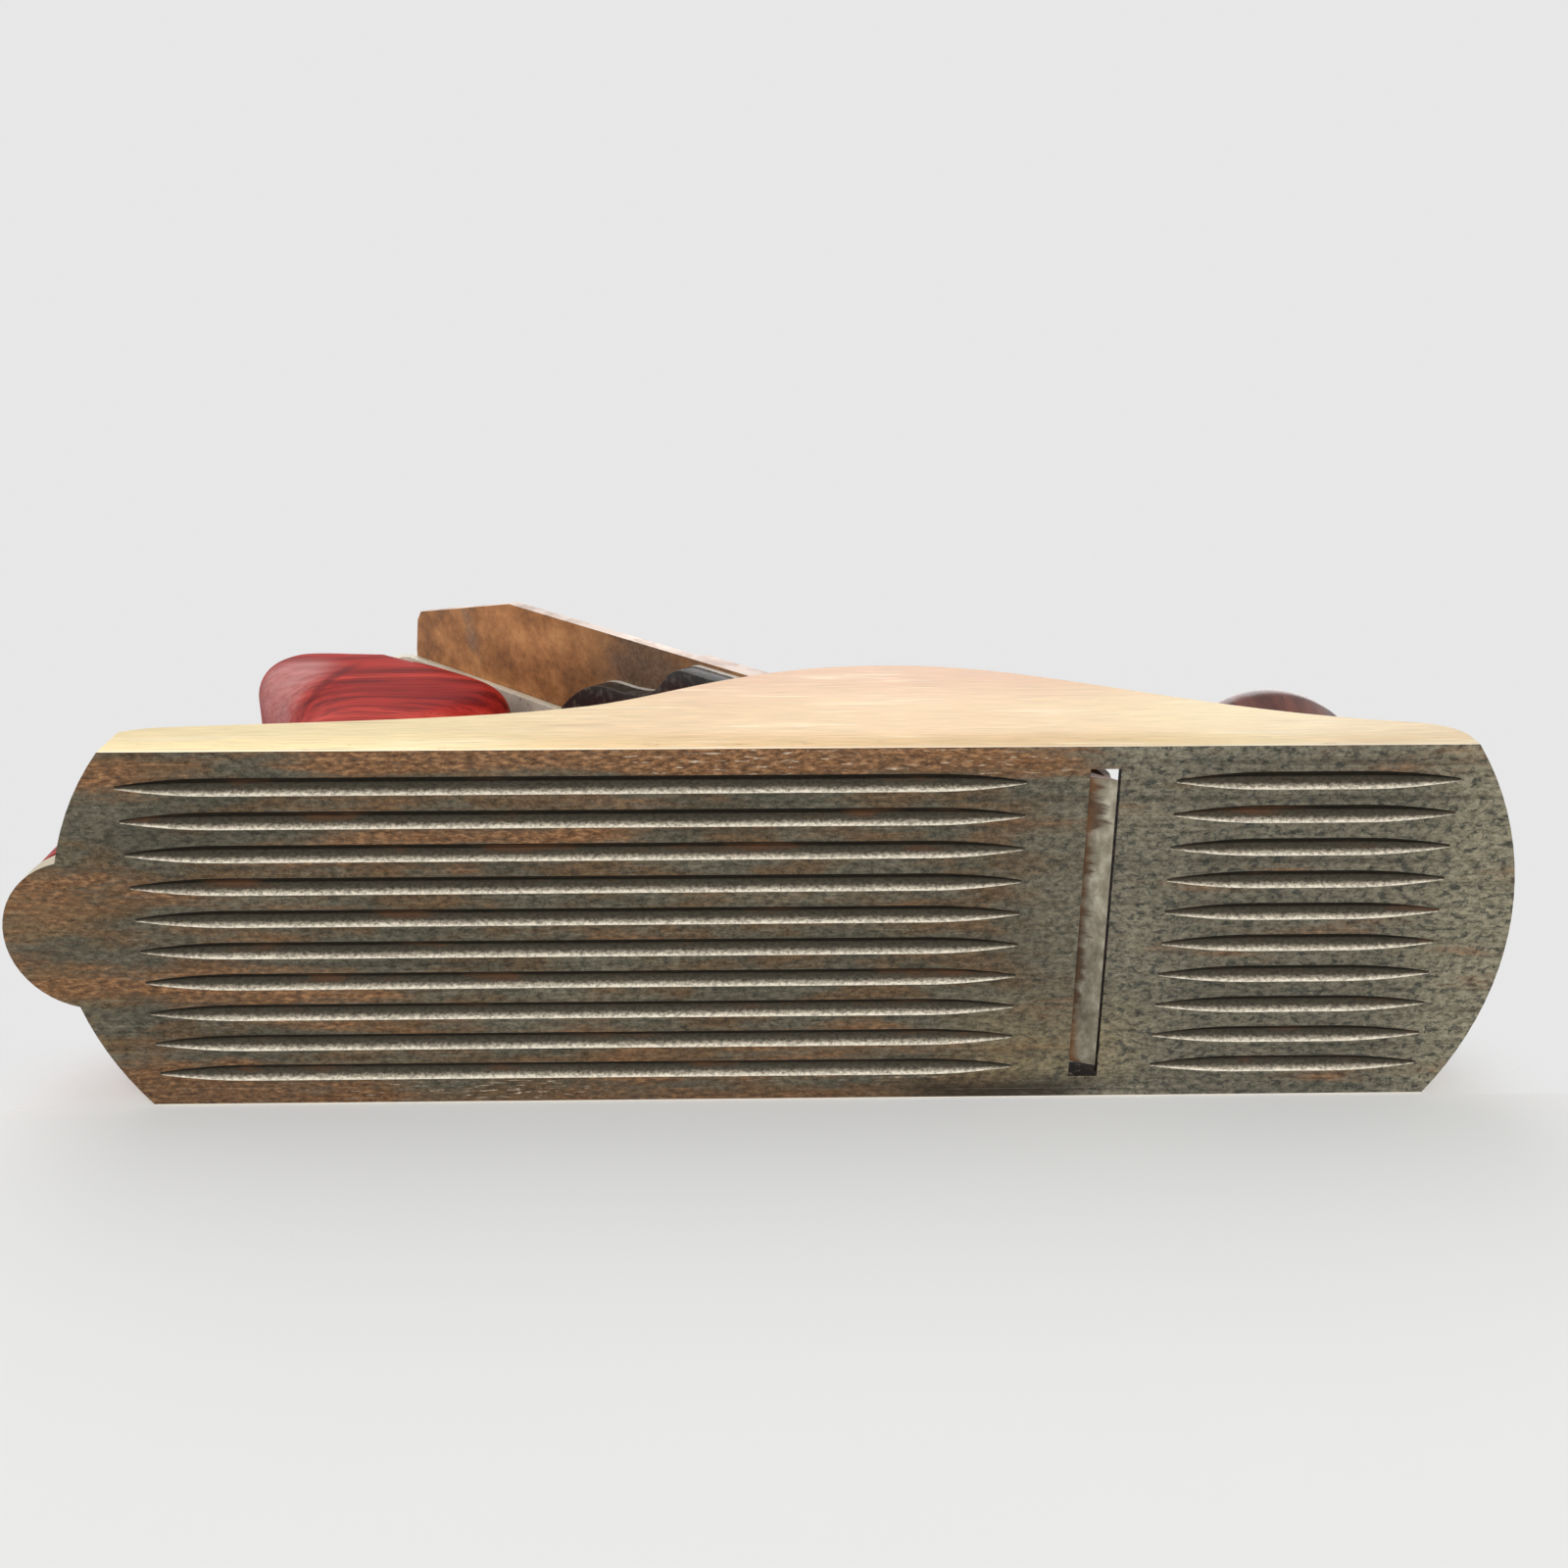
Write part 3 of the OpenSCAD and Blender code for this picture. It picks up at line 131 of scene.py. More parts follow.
class Finish:
    """One finish: a material, and the nodes that it is made with."""

    def __init__(self, name, tree_of=None):
        self.mat = tree_of or bpy.data.materials.new(name)
        self.mat.use_nodes = True
        self.tree = self.mat.node_tree
        self.tree.nodes.clear()
        self.cache = {}

    def node(self, kind, settings=None, inputs=None, out=0):
        """A node of that kind, its settings first, then its sockets' values or links."""
        n = self.tree.nodes.new(kind)
        for key, value in (settings or {}).items():
            if key == "stops":
                for i, (place, colour) in enumerate(value):
                    e = n.color_ramp.elements
                    stop = e[i] if i < 2 else e.new(place)
                    stop.position, stop.color = place, (*colour, 1.0)
            else:
                setattr(n, key, value)
        for key, value in (inputs or {}).items():
            if isinstance(value, Sock):
                self.tree.links.new(value.socket, n.inputs[key])
            elif isinstance(value, (tuple, list)) and len(n.inputs[key].default_value) == 4:
                n.inputs[key].default_value = (*value[:3], 1.0)
            else:
                n.inputs[key].default_value = value
        return n if out is None else Sock(self, n.outputs[out])

    def sum(self, operation, a, b=0.0, clamp=False):
        return self.node("ShaderNodeMath", {"operation": operation, "use_clamp": clamp},
                         {0: a, 1: b})

    # Places and directions on the piece

    def place(self):
        if "place" not in self.cache:
            self.cache["place"] = self.node("ShaderNodeTexCoord", out="Object")
        return self.cache["place"]

    def axes(self, vector, scale=1.0):
        """x, y and z of a vector, each times scale."""
        n = self.node("ShaderNodeSeparateXYZ", None, {0: vector}, out=None)
        parts = [Sock(self, n.outputs[i]) for i in range(3)]
        return parts if scale == 1.0 else [p * scale for p in parts]

    def xyz(self):
        """Place on the piece, in millimetres."""
        if "xyz" not in self.cache:
            self.cache["xyz"] = self.axes(self.place(), 1000.0)
        return self.cache["xyz"]

    def facing(self):
        """x, y and z of the direction that the surface faces."""
        if "facing" not in self.cache:
            self.cache["facing"] = self.axes(self.node("ShaderNodeTexCoord", out="Normal"))
        return self.cache["facing"]

    def turned(self, angle, move):
        """Place turned about Y, so that a grain can run up the bed."""
        return self.node("ShaderNodeVectorRotate", {"rotation_type": "AXIS_ANGLE"}, {
            "Vector": self.place(), "Center": move, "Axis": (0, 1, 0), "Angle": angle})

    def stretched(self, per_m, where=None, shift=(0.0, 0.0, 0.0)):
        """Place times so many features a metre along each axis."""
        return self.node("ShaderNodeVectorMath", {"operation": "MULTIPLY_ADD"},
                         {0: where or self.place(), 1: per_m, 2: shift})

    # Patterns

    def noise(self, per_m, detail=3.0, rough=0.55, where=None, shift=(0.0, 0.0, 0.0), warp=0.0):
        return self.node("ShaderNodeTexNoise", None, {
            "Vector": self.stretched(per_m, where, shift), "Scale": 1.0, "Detail": detail,
            "Roughness": rough, "Distortion": warp})

    def cells(self, per_m, shift=(0.0, 0.0, 0.0)):
        return self.node("ShaderNodeTexVoronoi", {"feature": "F1"}, {
            "Vector": self.stretched(per_m, None, shift), "Scale": 1.0, "Randomness": 1.0})

    def between(self, value, low, high, to_low=0.0, to_high=1.0):
        """A smooth step of value from low to high."""
        return self.node("ShaderNodeMapRange", {"interpolation_type": "SMOOTHSTEP"}, {
            "Value": value, "From Min": low, "From Max": high, "To Min": to_low, "To Max": to_high})

    def hump(self, value, middle, half, soft):
        """1 within half of the middle, falling to 0 over soft."""
        return self.between(abs(value - middle), half + soft, half)

    def edge(self, reach):
        """1 on the piece's edges and corners, within about reach millimetres."""
        eased = self.node("ShaderNodeBevel", {"samples": 6}, {"Radius": reach * MM})
        true = self.node("ShaderNodeNewGeometry", out="Normal")
        same = self.node("ShaderNodeVectorMath", {"operation": "DOT_PRODUCT"}, {0: eased, 1: true},
                         out="Value")
        return self.between(1 - same, 0.03, 0.3)

    # Colours

    def mix(self, a, b, factor):
        return self.node("ShaderNodeMix", {"data_type": "RGBA", "blend_type": "MIX"},
                         {0: factor, 6: a, 7: b}, out=2)

    def times(self, tint, value):
        return self.node("ShaderNodeVectorMath", {"operation": "SCALE"}, {0: tint, "Scale": value})

    def ramp(self, value, stops):
        return self.node("ShaderNodeValToRGB", {"stops": stops}, {0: value}, out="Color")

    def bump(self, height, strength, depth_mm):
        return self.node("ShaderNodeBump", None, {
            "Strength": strength, "Distance": depth_mm * MM, "Height": height}, out="Normal")

    def skin(self, **sockets):
        """The finish's one surface. What varies feeds colour, roughness, metal, coat or normal."""
        names = {"colour": "Base Color", "rough": "Roughness", "metal": "Metallic",
                 "normal": "Normal", "coat": "Coat Weight", "coat_rough": "Coat Roughness",
                 "specular": "Specular IOR Level"}
        skin = self.node("ShaderNodeBsdfPrincipled", None,
                         {names[k]: v for k, v in sockets.items()}, out="BSDF")
        self.node("ShaderNodeOutputMaterial", None, {"Surface": skin}, out=None)
        return self.mat


# Finishes

def brush_marks(f, along, across, where=None, shift=(0.0, 0.0, 0.0)):
    """Fine parallel marks, long one way and thin the others."""
    return f.noise((along, across, across), 4.0, 0.65, where, shift)


def iron_sole(f):
    """Colour, roughness, metal and height of the brown, scratched and spotted sole."""
    x, y = f.xyz()[:2]
    cloud = f.noise((30, 55, 55), 5.0, 0.6)
    drift = f.noise((45, 150, 150), 4.0, 0.62, shift=(4.0, 1.0, 0.0))
    grain = brush_marks(f, 70, 2300)
    coarse = brush_marks(f, 9, 480, shift=(3.0, 1.0, 0.0))
    spots = f.noise((560, 820, 820), 3.0, 0.62, warp=0.4)
    pepper = f.noise((600, 1000, 1000), 5.0, 0.85)
    toe_half = f.between(x, 34.0, 58.0)
    tint = f.ramp(cloud, [(0.32, (0.066, 0.060, 0.041)), (0.50, (0.104, 0.094, 0.066)),
                          (0.70, (0.150, 0.134, 0.094))])
    tint = f.mix(tint, (0.125, 0.072, 0.034), f.between(drift, 0.44, 0.60) * (1 - toe_half) * 0.80)
    tint = f.mix(tint, (0.180, 0.165, 0.120), toe_half * 0.45)
    golden = f.hump(x, 46.0, 7.0, 14.0) * f.between(y, 8.0, 22.0) * f.between(y, 29.5, 26.0)
    golden = golden * 0.6 + f.between(x, -98.0, -116.0) * f.between(drift, 0.42, 0.58) * 0.5
    tint = f.mix(tint, (0.225, 0.178, 0.098), golden)
    tint = f.times(tint, 1 + 0.22 * f.hump(x, 61.0, 3.0, 6.0))
    tint = f.mix(tint, (0.255, 0.230, 0.158), f.between(x, 96.0, 116.0) * 0.85)
    tint = f.mix(tint, (0.240, 0.208, 0.145), f.between(grain, 0.54, 0.72) * 0.50)
    tint = f.mix(tint, (0.040, 0.034, 0.024), f.between(coarse, 0.48, 0.34) * 0.45)
    # Dark spots, most of them from the mouth to the toe
    spot = f.between(spots, 0.54, 0.60)
    tint = f.mix(tint, (0.044, 0.048, 0.043), spot * (0.30 + 0.40 * toe_half))
    tint = f.times(tint, f.between(pepper, 0.34, 0.66, 0.45, 1.60))
    # Rust along both edges, on the heel and on the lands of the left half
    band = f.noise((14, 85, 85), 5.0, 0.64, shift=(1.5, 7.0, 0.0))
    rust_grain = f.noise((620, 1500, 1500), 4.0, 0.68, shift=(0.0, 2.0, 0.0))
    rail = f.between(abs(y), 22.0, 30.0)
    heel = f.between(x, -84.0, -116.0)
    left = f.between(x, 44.0, 10.0)
    upper = f.between(y, -24.0, -29.0) * f.hump(x, -10.0, 48.0, 24.0)
    low = f.between(y, 17.0, 27.0) * left
    rusty = f.between(band + 0.05 * rail * left + 0.05 * heel + 0.05 * left + 0.13 * upper
                      + 0.05 * low, 0.55, 0.70)
    rust = f.ramp(rust_grain, [(0.34, (0.066, 0.031, 0.015)), (0.50, (0.210, 0.098, 0.042)),
                               (0.66, (0.480, 0.250, 0.110))])
    rust = f.times(rust, 1 - 0.25 * low)
    tint = f.mix(tint, rust, rusty * 0.80)
    stain = f.hump(x, 38.0, 7.0, 12.0) * f.between(y + 5.0 * (cloud - 0.5), 27.4, 29.0)
    tint = f.mix(tint, (0.026, 0.019, 0.011), stain * 0.80)
    # Bright scratches, and dashes where the lands are rubbed
    long_mark = f.between(brush_marks(f, 7, 1500, shift=(6.0, 1.0, 2.0)), 0.66, 0.72)
    dash = f.between(brush_marks(f, 330, 2300, shift=(0.0, 3.0, 9.0)), 0.57, 0.66)
    rubbed = f.hump(y, -28.4, 1.2, 2.2) * f.hump(x, 10.0, 14.0, 34.0)
    rubbed = rubbed + f.hump(y, 26.8, 0.3, 0.7) * f.hump(x, 12.0, 8.0, 16.0)
    rubbed = rubbed + f.hump(y, 28.8, 0.8, 1.6) * f.hump(x, -46.0, 8.0, 20.0)
    scratch = long_mark * 0.16 + dash * (0.07 + 0.75 * rubbed * f.between(drift, 0.36, 0.56))
    tint = f.mix(tint, (0.74, 0.63, 0.47), scratch)
    rough = 0.46 + 0.16 * spot + 0.2 * rusty
    metal = 0.40 - 0.25 * rusty
    height = 0.5 * grain + 0.5 * pepper + 0.2 * rust_grain * rusty - 0.4 * spot
    return tint, rough, metal, height


def across_groove(f):
    """Place across a groove, from 0 at its right-hand edge to 1, and 1 only where grooves run."""
    x, y = f.xyz()[:2]
    off = (f.sum("FRACT", y / GROOVE_PITCH) - 0.5) * GROOVE_PITCH
    in_from_tip = [f.sum("MINIMUM", x - start, end - x) for start, end in GROOVE_ENDS]
    inside = f.sum("MAXIMUM", *in_from_tip)
    to_go = 1 - f.sum("DIVIDE", inside, GROOVE_TIP, clamp=True)
    half = 0.25 + (GROOVE_HALF_W - 0.25) * (1 - to_go * to_go)
    return off / half * 0.5 + 0.5, inside > -0.3


def body_finish():
    """Ground sole and cheeks, grooves with painted shade on one flank and a painted highlight on
    the other, black japanning inside.
    """
    f = Finish("body_iron")
    x, y, z = f.xyz()
    ny, nz = f.facing()[1:]
    sole_tint, sole_rough, sole_metal, sole_height = iron_sole(f)

    # Grooves: painted shade under the right-hand edge and a painted highlight towards the left-hand
    # one, with specks and rust stains over them
    across, has_grooves = across_groove(f)
    speck = f.noise((1500, 2100, 2100), 3.0, 0.72)
    stain = f.noise((60, 160, 160), 4.0, 0.6, shift=(2.0, 0.0, 4.0))
    groove_shading_and_stains = f.ramp(across + 0.24 * (speck - 0.5) + 0.08 * (stain - 0.5), [
        (0.14, (0.006, 0.004, 0.002)), (0.32, (0.016, 0.012, 0.007)),
        (0.54, (0.054, 0.046, 0.030)), (0.73, (0.095, 0.082, 0.058)),
        (0.83, (0.360, 0.310, 0.235)), (0.94, (0.860, 0.780, 0.630))])
    groove_shading_and_stains = f.times(groove_shading_and_stains, f.between(speck, 0.30, 0.62, 0.62, 1.12))
    groove_shading_and_stains = f.mix(groove_shading_and_stains, (0.120, 0.052, 0.022),
                        f.between(stain, 0.54, 0.68) * f.hump(across, 0.42, 0.16, 0.22) * 0.7)

    # Cheeks: pale ground iron, cream at the heel, pinkish over the hump, cream at the toe
    grain = brush_marks(f, 26, 1500, shift=(4.0, 0.0, 2.0))
    cloud = f.noise((18, 50, 60), 4.0, 0.55, shift=(7.0, 0.0, 0.0))
    flake = f.noise((240, 700, 700), 4.0, 0.66, shift=(1.0, 0.0, 5.0))
    streak = f.noise((30, 420, 420), 4.0, 0.62, shift=(9.0, 2.0, 5.0))
    cheek = f.mix((0.89, 0.725, 0.415), (0.75, 0.530, 0.295), f.hump(x, 15.0, 20.0, 60.0))
    cheek = f.mix(cheek, (0.65, 0.385, 0.235), f.between(z, 18.0, 38.0) * 0.85)
    cheek = f.mix(cheek, (0.92, 0.740, 0.480), f.between(x, 58.0, 96.0))
    cheek = f.mix(cheek, (0.92, 0.800, 0.560), f.between(streak, 0.54, 0.68) * 0.55)
    cheek = f.mix(cheek, (0.60, 0.390, 0.235), f.between(cloud, 0.54, 0.74) * 0.35)
    cheek = f.mix(cheek, (0.52, 0.330, 0.200), f.between(grain, 0.42, 0.28) * 0.55)
    cheek = f.mix(cheek, (0.36, 0.205, 0.115),
                  f.between(flake, 0.60, 0.70) * f.between(z + 9.0 * cloud, 11.0, 5.0) * 0.45)
    cheek = f.times(cheek, f.between(brush_marks(f, 120, 3000), 0.34, 0.66, 0.86, 1.08))
    # Paler along the lowest millimetre by the sole: a painted highlight on that edge
    cheek = f.mix(cheek, (0.88, 0.800, 0.660), f.between(z, 0.9, 0.4) * 0.5)

    # Japanning inside, worn to brown and grey where things rub
    drift = f.noise((60, 60, 60), 4.0, 0.6, shift=(0.0, 4.0, 1.0))
    fine = f.noise((700, 700, 700), 3.0, 0.6)
    japan = f.ramp(drift, [(0.3, (0.010, 0.010, 0.011)), (0.6, (0.020, 0.019, 0.019)),
                           (0.8, (0.045, 0.036, 0.028))])
    chip = f.between(fine + 0.35 * drift, 0.80, 0.86)
    japan = f.mix(japan, (0.16, 0.10, 0.06), chip * 0.8)
    worn = f.edge(0.7)
    wear_and_sheen = f.between(worn * (0.55 + 0.9 * drift), 0.35, 0.75)

    sole = f.between(z, 0.06, 0.03) * (nz < -0.5)
    groove = (z < GROOVE_TOP_Z) * f.between(nz, -0.25, -0.4) * (1 - sole) * has_grooves
    groove = groove * (abs(y) < GROOVES_HALF_Y)
    cheek_face = f.between(abs(ny), 0.80, 0.95) * (abs(y) > HALF_W - 0.6)
    rim = (abs(nz) < 0.35) * (z < 11.6) * f.between(abs(x), 84.0, 88.0)
    mouth_wall = f.hump(x, MOUTH_X, MOUTH_HALF_X, 0.5) * (abs(y) < MOUTH_HALF_Y)
    mouth_wall = mouth_wall * (z < SOLE_T - 0.1) * (abs(nz) < 0.9)
    top_edge = (z > SOLE_T + 1) * (abs(y) > HALF_W - 3.6) * (nz > 0.3)
    seat = f.hump(z, SEAT_Z, 0.08, 0.05) * (nz > 0.9) * (abs(y) < 22.2)

    bare = f.mix((0.15, 0.125, 0.09), (0.34, 0.29, 0.21), f.between(grain, 0.42, 0.66))
    bare = f.mix(bare, (0.16, 0.075, 0.035), f.between(cloud, 0.5, 0.66) * 0.7)
    end = f.mix((0.60, 0.520, 0.380), (0.30, 0.205, 0.125), f.between(cloud, 0.44, 0.62) * 0.7)
    is_bare = f.between(rim + top_edge + seat + wear_and_sheen, 0.4, 0.6)

    tint = f.mix(japan, bare, is_bare)
    tint = f.mix(tint, end, rim)
    tint = f.mix(tint, cheek, cheek_face)
    wall_tint = f.mix((0.014, 0.008, 0.005), (0.150, 0.110, 0.085), f.between(fine, 0.50, 0.66))
    tint = f.mix(tint, wall_tint, mouth_wall)
    tint = f.mix(tint, groove_shading_and_stains, groove)
    tint = f.mix(tint, sole_tint, sole)

    rough = 0.42 + 0.20 * chip + is_bare * 0.08
    rough = rough * (1 - cheek_face) + (0.40 + 0.14 * cloud) * cheek_face
    rough = rough * (1 - groove) + 0.5 * groove
    rough = rough * (1 - mouth_wall) + 0.8 * mouth_wall
    rough = rough * (1 - sole) + sole_rough * sole
    metal = 0.6 * is_bare
    metal = metal * (1 - cheek_face) + 0.30 * cheek_face
    metal = metal * (1 - groove) + 0.10 * groove
    metal = metal * (1 - sole) * (1 - mouth_wall) + sole_metal * sole
    height = 0.6 * fine * (1 - cheek_face) + (0.4 * grain + 0.3 * flake) * cheek_face
    height = height * (1 - sole) + sole_height * sole
    glossy = (1 - is_bare) * (1 - cheek_face) * (1 - groove) * (1 - sole) * (1 - rim)
    glossy = glossy * (1 - mouth_wall)
    return f.skin(colour=tint, rough=rough, metal=metal, coat=0.35 * glossy, coat_rough=0.30,
                  specular=0.20, normal=f.bump(height, 0.35, 0.10))


def japan_finish(name, seed):
    """Black japanning on the frog and the Y lever, bare on machined faces and edges, with a
    highlight painted along the lip below the bed.
    """
    f = Finish(name)
    x, z = f.xyz()[::2]
    nx, nz = f.facing()[::2]
    drift = f.noise((70, 70, 70), 4.0, 0.6, shift=(seed, 0.0, 0.0))
    fine = f.noise((650, 650, 650), 3.0, 0.6, shift=(0.0, seed, 0.0))
    japan = f.ramp(drift, [(0.3, (0.011, 0.010, 0.009)), (0.6, (0.023, 0.021, 0.018)),
                           (0.8, (0.05, 0.038, 0.026))])
    chip = f.between(fine + 0.35 * drift, 0.80, 0.86)
    japan = f.mix(japan, (0.17, 0.10, 0.06), chip * 0.8)
    worn = f.edge(0.8)
    # The machined bed, which faces up and forward
    bed = f.between(nx * 0.7071 + nz * 0.7071, 0.985, 0.995)
    below_bed = (BED_X - x - z) * 0.7071
    # The lip just under the bed's edge: bare metal, painted near-white as a highlight
    lip_sheen = f.between(below_bed + 0.8 * (fine - 0.5), 1.40, 1.05) * (z > SEAT_Z + 2)
    marks = f.noise((1200, 40, 1200), 4.0, 0.6)
    bare = f.mix((0.16, 0.13, 0.10), (0.42, 0.37, 0.29), f.between(marks, 0.4, 0.62))
    bare = f.mix(bare, (0.15, 0.07, 0.035), f.between(drift, 0.5, 0.68) * 0.7)
    wear_and_sheen = f.between(worn * (0.6 + 0.9 * drift), 0.4, 0.8)
    is_bare = f.between(wear_and_sheen + bed + lip_sheen, 0.4, 0.6)
    japan = f.mix(japan, (0.085, 0.082, 0.072), f.between(fine, 0.50, 0.64) * 0.6)
    tint = f.mix(japan, bare, is_bare)
    # The painted highlight along the lip
    tint = f.mix(tint, (0.72, 0.68, 0.62), lip_sheen * (1 - bed) * 0.9)
    return f.skin(colour=tint, rough=0.30 + 0.3 * chip + 0.16 * is_bare,
                  metal=0.8 * is_bare * (1 - 0.85 * lip_sheen), specular=0.35,
                  normal=f.bump(fine * 0.7 + marks * 0.3 * is_bare, 0.3, 0.12))


def cutter_finish():
    """Brown rust over grey steel, with a ground edge and a bright bevel."""
    f = Finish("cutter_steel")
    z = f.xyz()[2]
    bed = f.turned(math.radians(45), (BED_X * MM, 0.0, 0.0))
    ny, nz = f.facing()[1:]
    big = f.noise((26, 40, 40), 5.0, 0.62, bed, (3.0, 1.0, 0.0), 0.6)
    mid = f.noise((120, 120, 120), 5.0, 0.65, bed)
    fine = f.noise((900, 900, 900), 3.0, 0.6, bed)
    grind = brush_marks(f, 10, 1400, bed)
    rust = f.ramp(mid + 0.25 * (fine - 0.5), [
        (0.28, (0.110, 0.052, 0.022)), (0.44, (0.270, 0.118, 0.040)),
        (0.60, (0.410, 0.195, 0.072)), (0.78, (0.560, 0.310, 0.120))])
    steel = f.mix((0.150, 0.105, 0.070), (0.290, 0.215, 0.150), f.between(grind, 0.38, 0.66))
    # Lighter towards the top end, with a dull patch over the frog
    top_end = f.between(z, 78.0, 100.0)
    rusted = f.between(big + 0.3 * (mid - 0.5) + 0.16 * top_end - 0.10 * f.hump(z, 72.0, 6.0, 9.0),
                       0.36, 0.56)
    tint = f.mix(steel, rust, 0.30 + 0.70 * rusted)
    tint = f.times(tint, (0.78 + 0.62 * top_end) * f.between(nz, 0.0, 0.5, 1.0, 0.70))
    tint = f.mix(tint, (0.050, 0.034, 0.026), f.between(fine, 0.58, 0.70) * 0.35)
    side = f.between(abs(ny), 0.8, 0.95)
    edge_tint = f.mix((0.56, 0.430, 0.370), (0.82, 0.690, 0.610), f.between(mid, 0.36, 0.56))
    tint = f.mix(tint, edge_tint, side)
    # Bevel by the mouth: grey ground steel, rusted in runs from its heel
    bevel = (z < BEVEL_TOP_Z) * f.between(nz, -0.85, -0.92)
    film = f.noise((420, 260, 420), 4.0, 0.64, shift=(0.0, 5.0, 0.0))
    runs = f.noise((80, 330, 80), 4.0, 0.62, shift=(2.0, 0.0, 0.0))
    bevel_tint = f.ramp(film, [(0.30, (0.140, 0.120, 0.082)), (0.50, (0.275, 0.245, 0.180)),
                               (0.68, (0.470, 0.430, 0.340))])
    heel_rust = f.between(z + 4.2 * (runs - 0.5) + 1.2 * (film - 0.5), 1.05, 1.65)
    bevel_tint = f.mix(bevel_tint, (0.062, 0.028, 0.012), heel_rust * 0.90)
    bevel_tint = f.mix(bevel_tint, (0.014, 0.008, 0.004), f.between(z, 1.75, 2.05) * 0.9)
    tint = f.mix(tint, bevel_tint, bevel)
    metal = 0.7 - 0.6 * rusted
    metal = metal * (1 - bevel) + (0.55 - 0.45 * heel_rust) * bevel
    return f.skin(colour=tint, rough=0.40 + 0.22 * rusted + 0.15 * fine, metal=metal,
                  normal=f.bump(fine * 0.5 + mid * 0.5 * rusted + grind * 0.3, 0.4, 0.15))


def steel_finish(name, tone, rust, seed, rough=0.36):
    """Turned or pressed steel, dulled with age: tone is its colour and rust its share of brown."""
    f = Finish(name)
    big = f.noise((110, 110, 110), 4.0, 0.6, shift=(seed, 2.0, 0.0))
    fine = f.noise((1100, 1100, 1100), 3.0, 0.6, shift=(0.0, seed, 0.0))
    marks = f.noise((60, 1600, 1600), 3.0, 0.6, shift=(seed, seed, 0.0))
    dark = tuple(c * 0.45 for c in tone)
    tint = f.mix(dark, tone, f.between(marks, 0.36, 0.60))
    brown = f.between(big + 0.3 * (fine - 0.5), 0.66 - rust, 0.80 - rust)
    tint = f.mix(tint, f.ramp(fine, [(0.3, (0.09, 0.045, 0.022)), (0.6, (0.22, 0.115, 0.05))]),
                 brown * 0.8)
    worn = f.edge(0.4)
    tint = f.mix(tint, tuple(min(1.0, c * 1.25) for c in tone), worn * 0.5)
    return f.skin(colour=tint, rough=rough + 0.2 * brown + 0.12 * big, metal=0.9 - 0.6 * brown,
                  normal=f.bump(fine * 0.5 + marks * 0.5, 0.3, 0.06))


def plated_finish(name, seed, flat=1.0, metal=0.9):
    """Worn bright plating, with painted light: its narrow edges are painted brighter than its broad
    faces, and flat is how bright the broad faces are painted beside them.
    """
    f = Finish(name)
    ny = f.facing()[1]
    big = f.noise((55, 55, 55), 5.0, 0.6, shift=(seed, 1.0, 3.0))
    fine = f.noise((1300, 1300, 1300), 3.0, 0.6)
    spots = f.cells((420, 420, 420), shift=(seed, 0.0, 0.0))
    tint = f.ramp(big + 0.3 * (fine - 0.5), [
        (0.30, (0.38, 0.37, 0.30)), (0.48, (0.54, 0.515, 0.42)), (0.68, (0.66, 0.63, 0.52))])
    # Painted light: faces turned to either side are painted brighter than the broad faces
    tint = f.times(tint, f.between(abs(ny), 0.3, 0.8, flat, 1.35))
    pit = f.between(spots, 0.16, 0.08) * f.between(big, 0.50, 0.40)
    tint = f.mix(tint, (0.13, 0.075, 0.04), pit * 0.85)
    gone = f.between(f.edge(0.5) * (0.4 + 1.1 * big), 0.42, 0.8)
    tint = f.mix(tint, (0.40, 0.34, 0.25), gone * 0.6)
    return f.skin(colour=tint, rough=0.30 + 0.10 * big + 0.3 * pit, metal=metal * (1 - 0.6 * pit),
                  normal=f.bump(fine * 0.4 - pit, 0.25, 0.05))


def brass_finish():
    """Dull brass, flecked dark, brighter on its edges."""
    f = Finish("old_brass")
    big = f.noise((90, 90, 90), 5.0, 0.6)
    fine = f.noise((1000, 1000, 1000), 3.0, 0.6)
    tint = f.ramp(big, [(0.28, (0.20, 0.125, 0.045)), (0.5, (0.42, 0.29, 0.11)),
                        (0.72, (0.60, 0.44, 0.19))])
    tint = f.mix(tint, (0.10, 0.075, 0.04), f.between(fine, 0.56, 0.70) * 0.45)
    tint = f.mix(tint, (0.78, 0.60, 0.30), f.edge(0.5) * 0.7)
    return f.skin(colour=tint, rough=0.30 + 0.22 * big, metal=0.92,
                  normal=f.bump(fine, 0.25, 0.05))


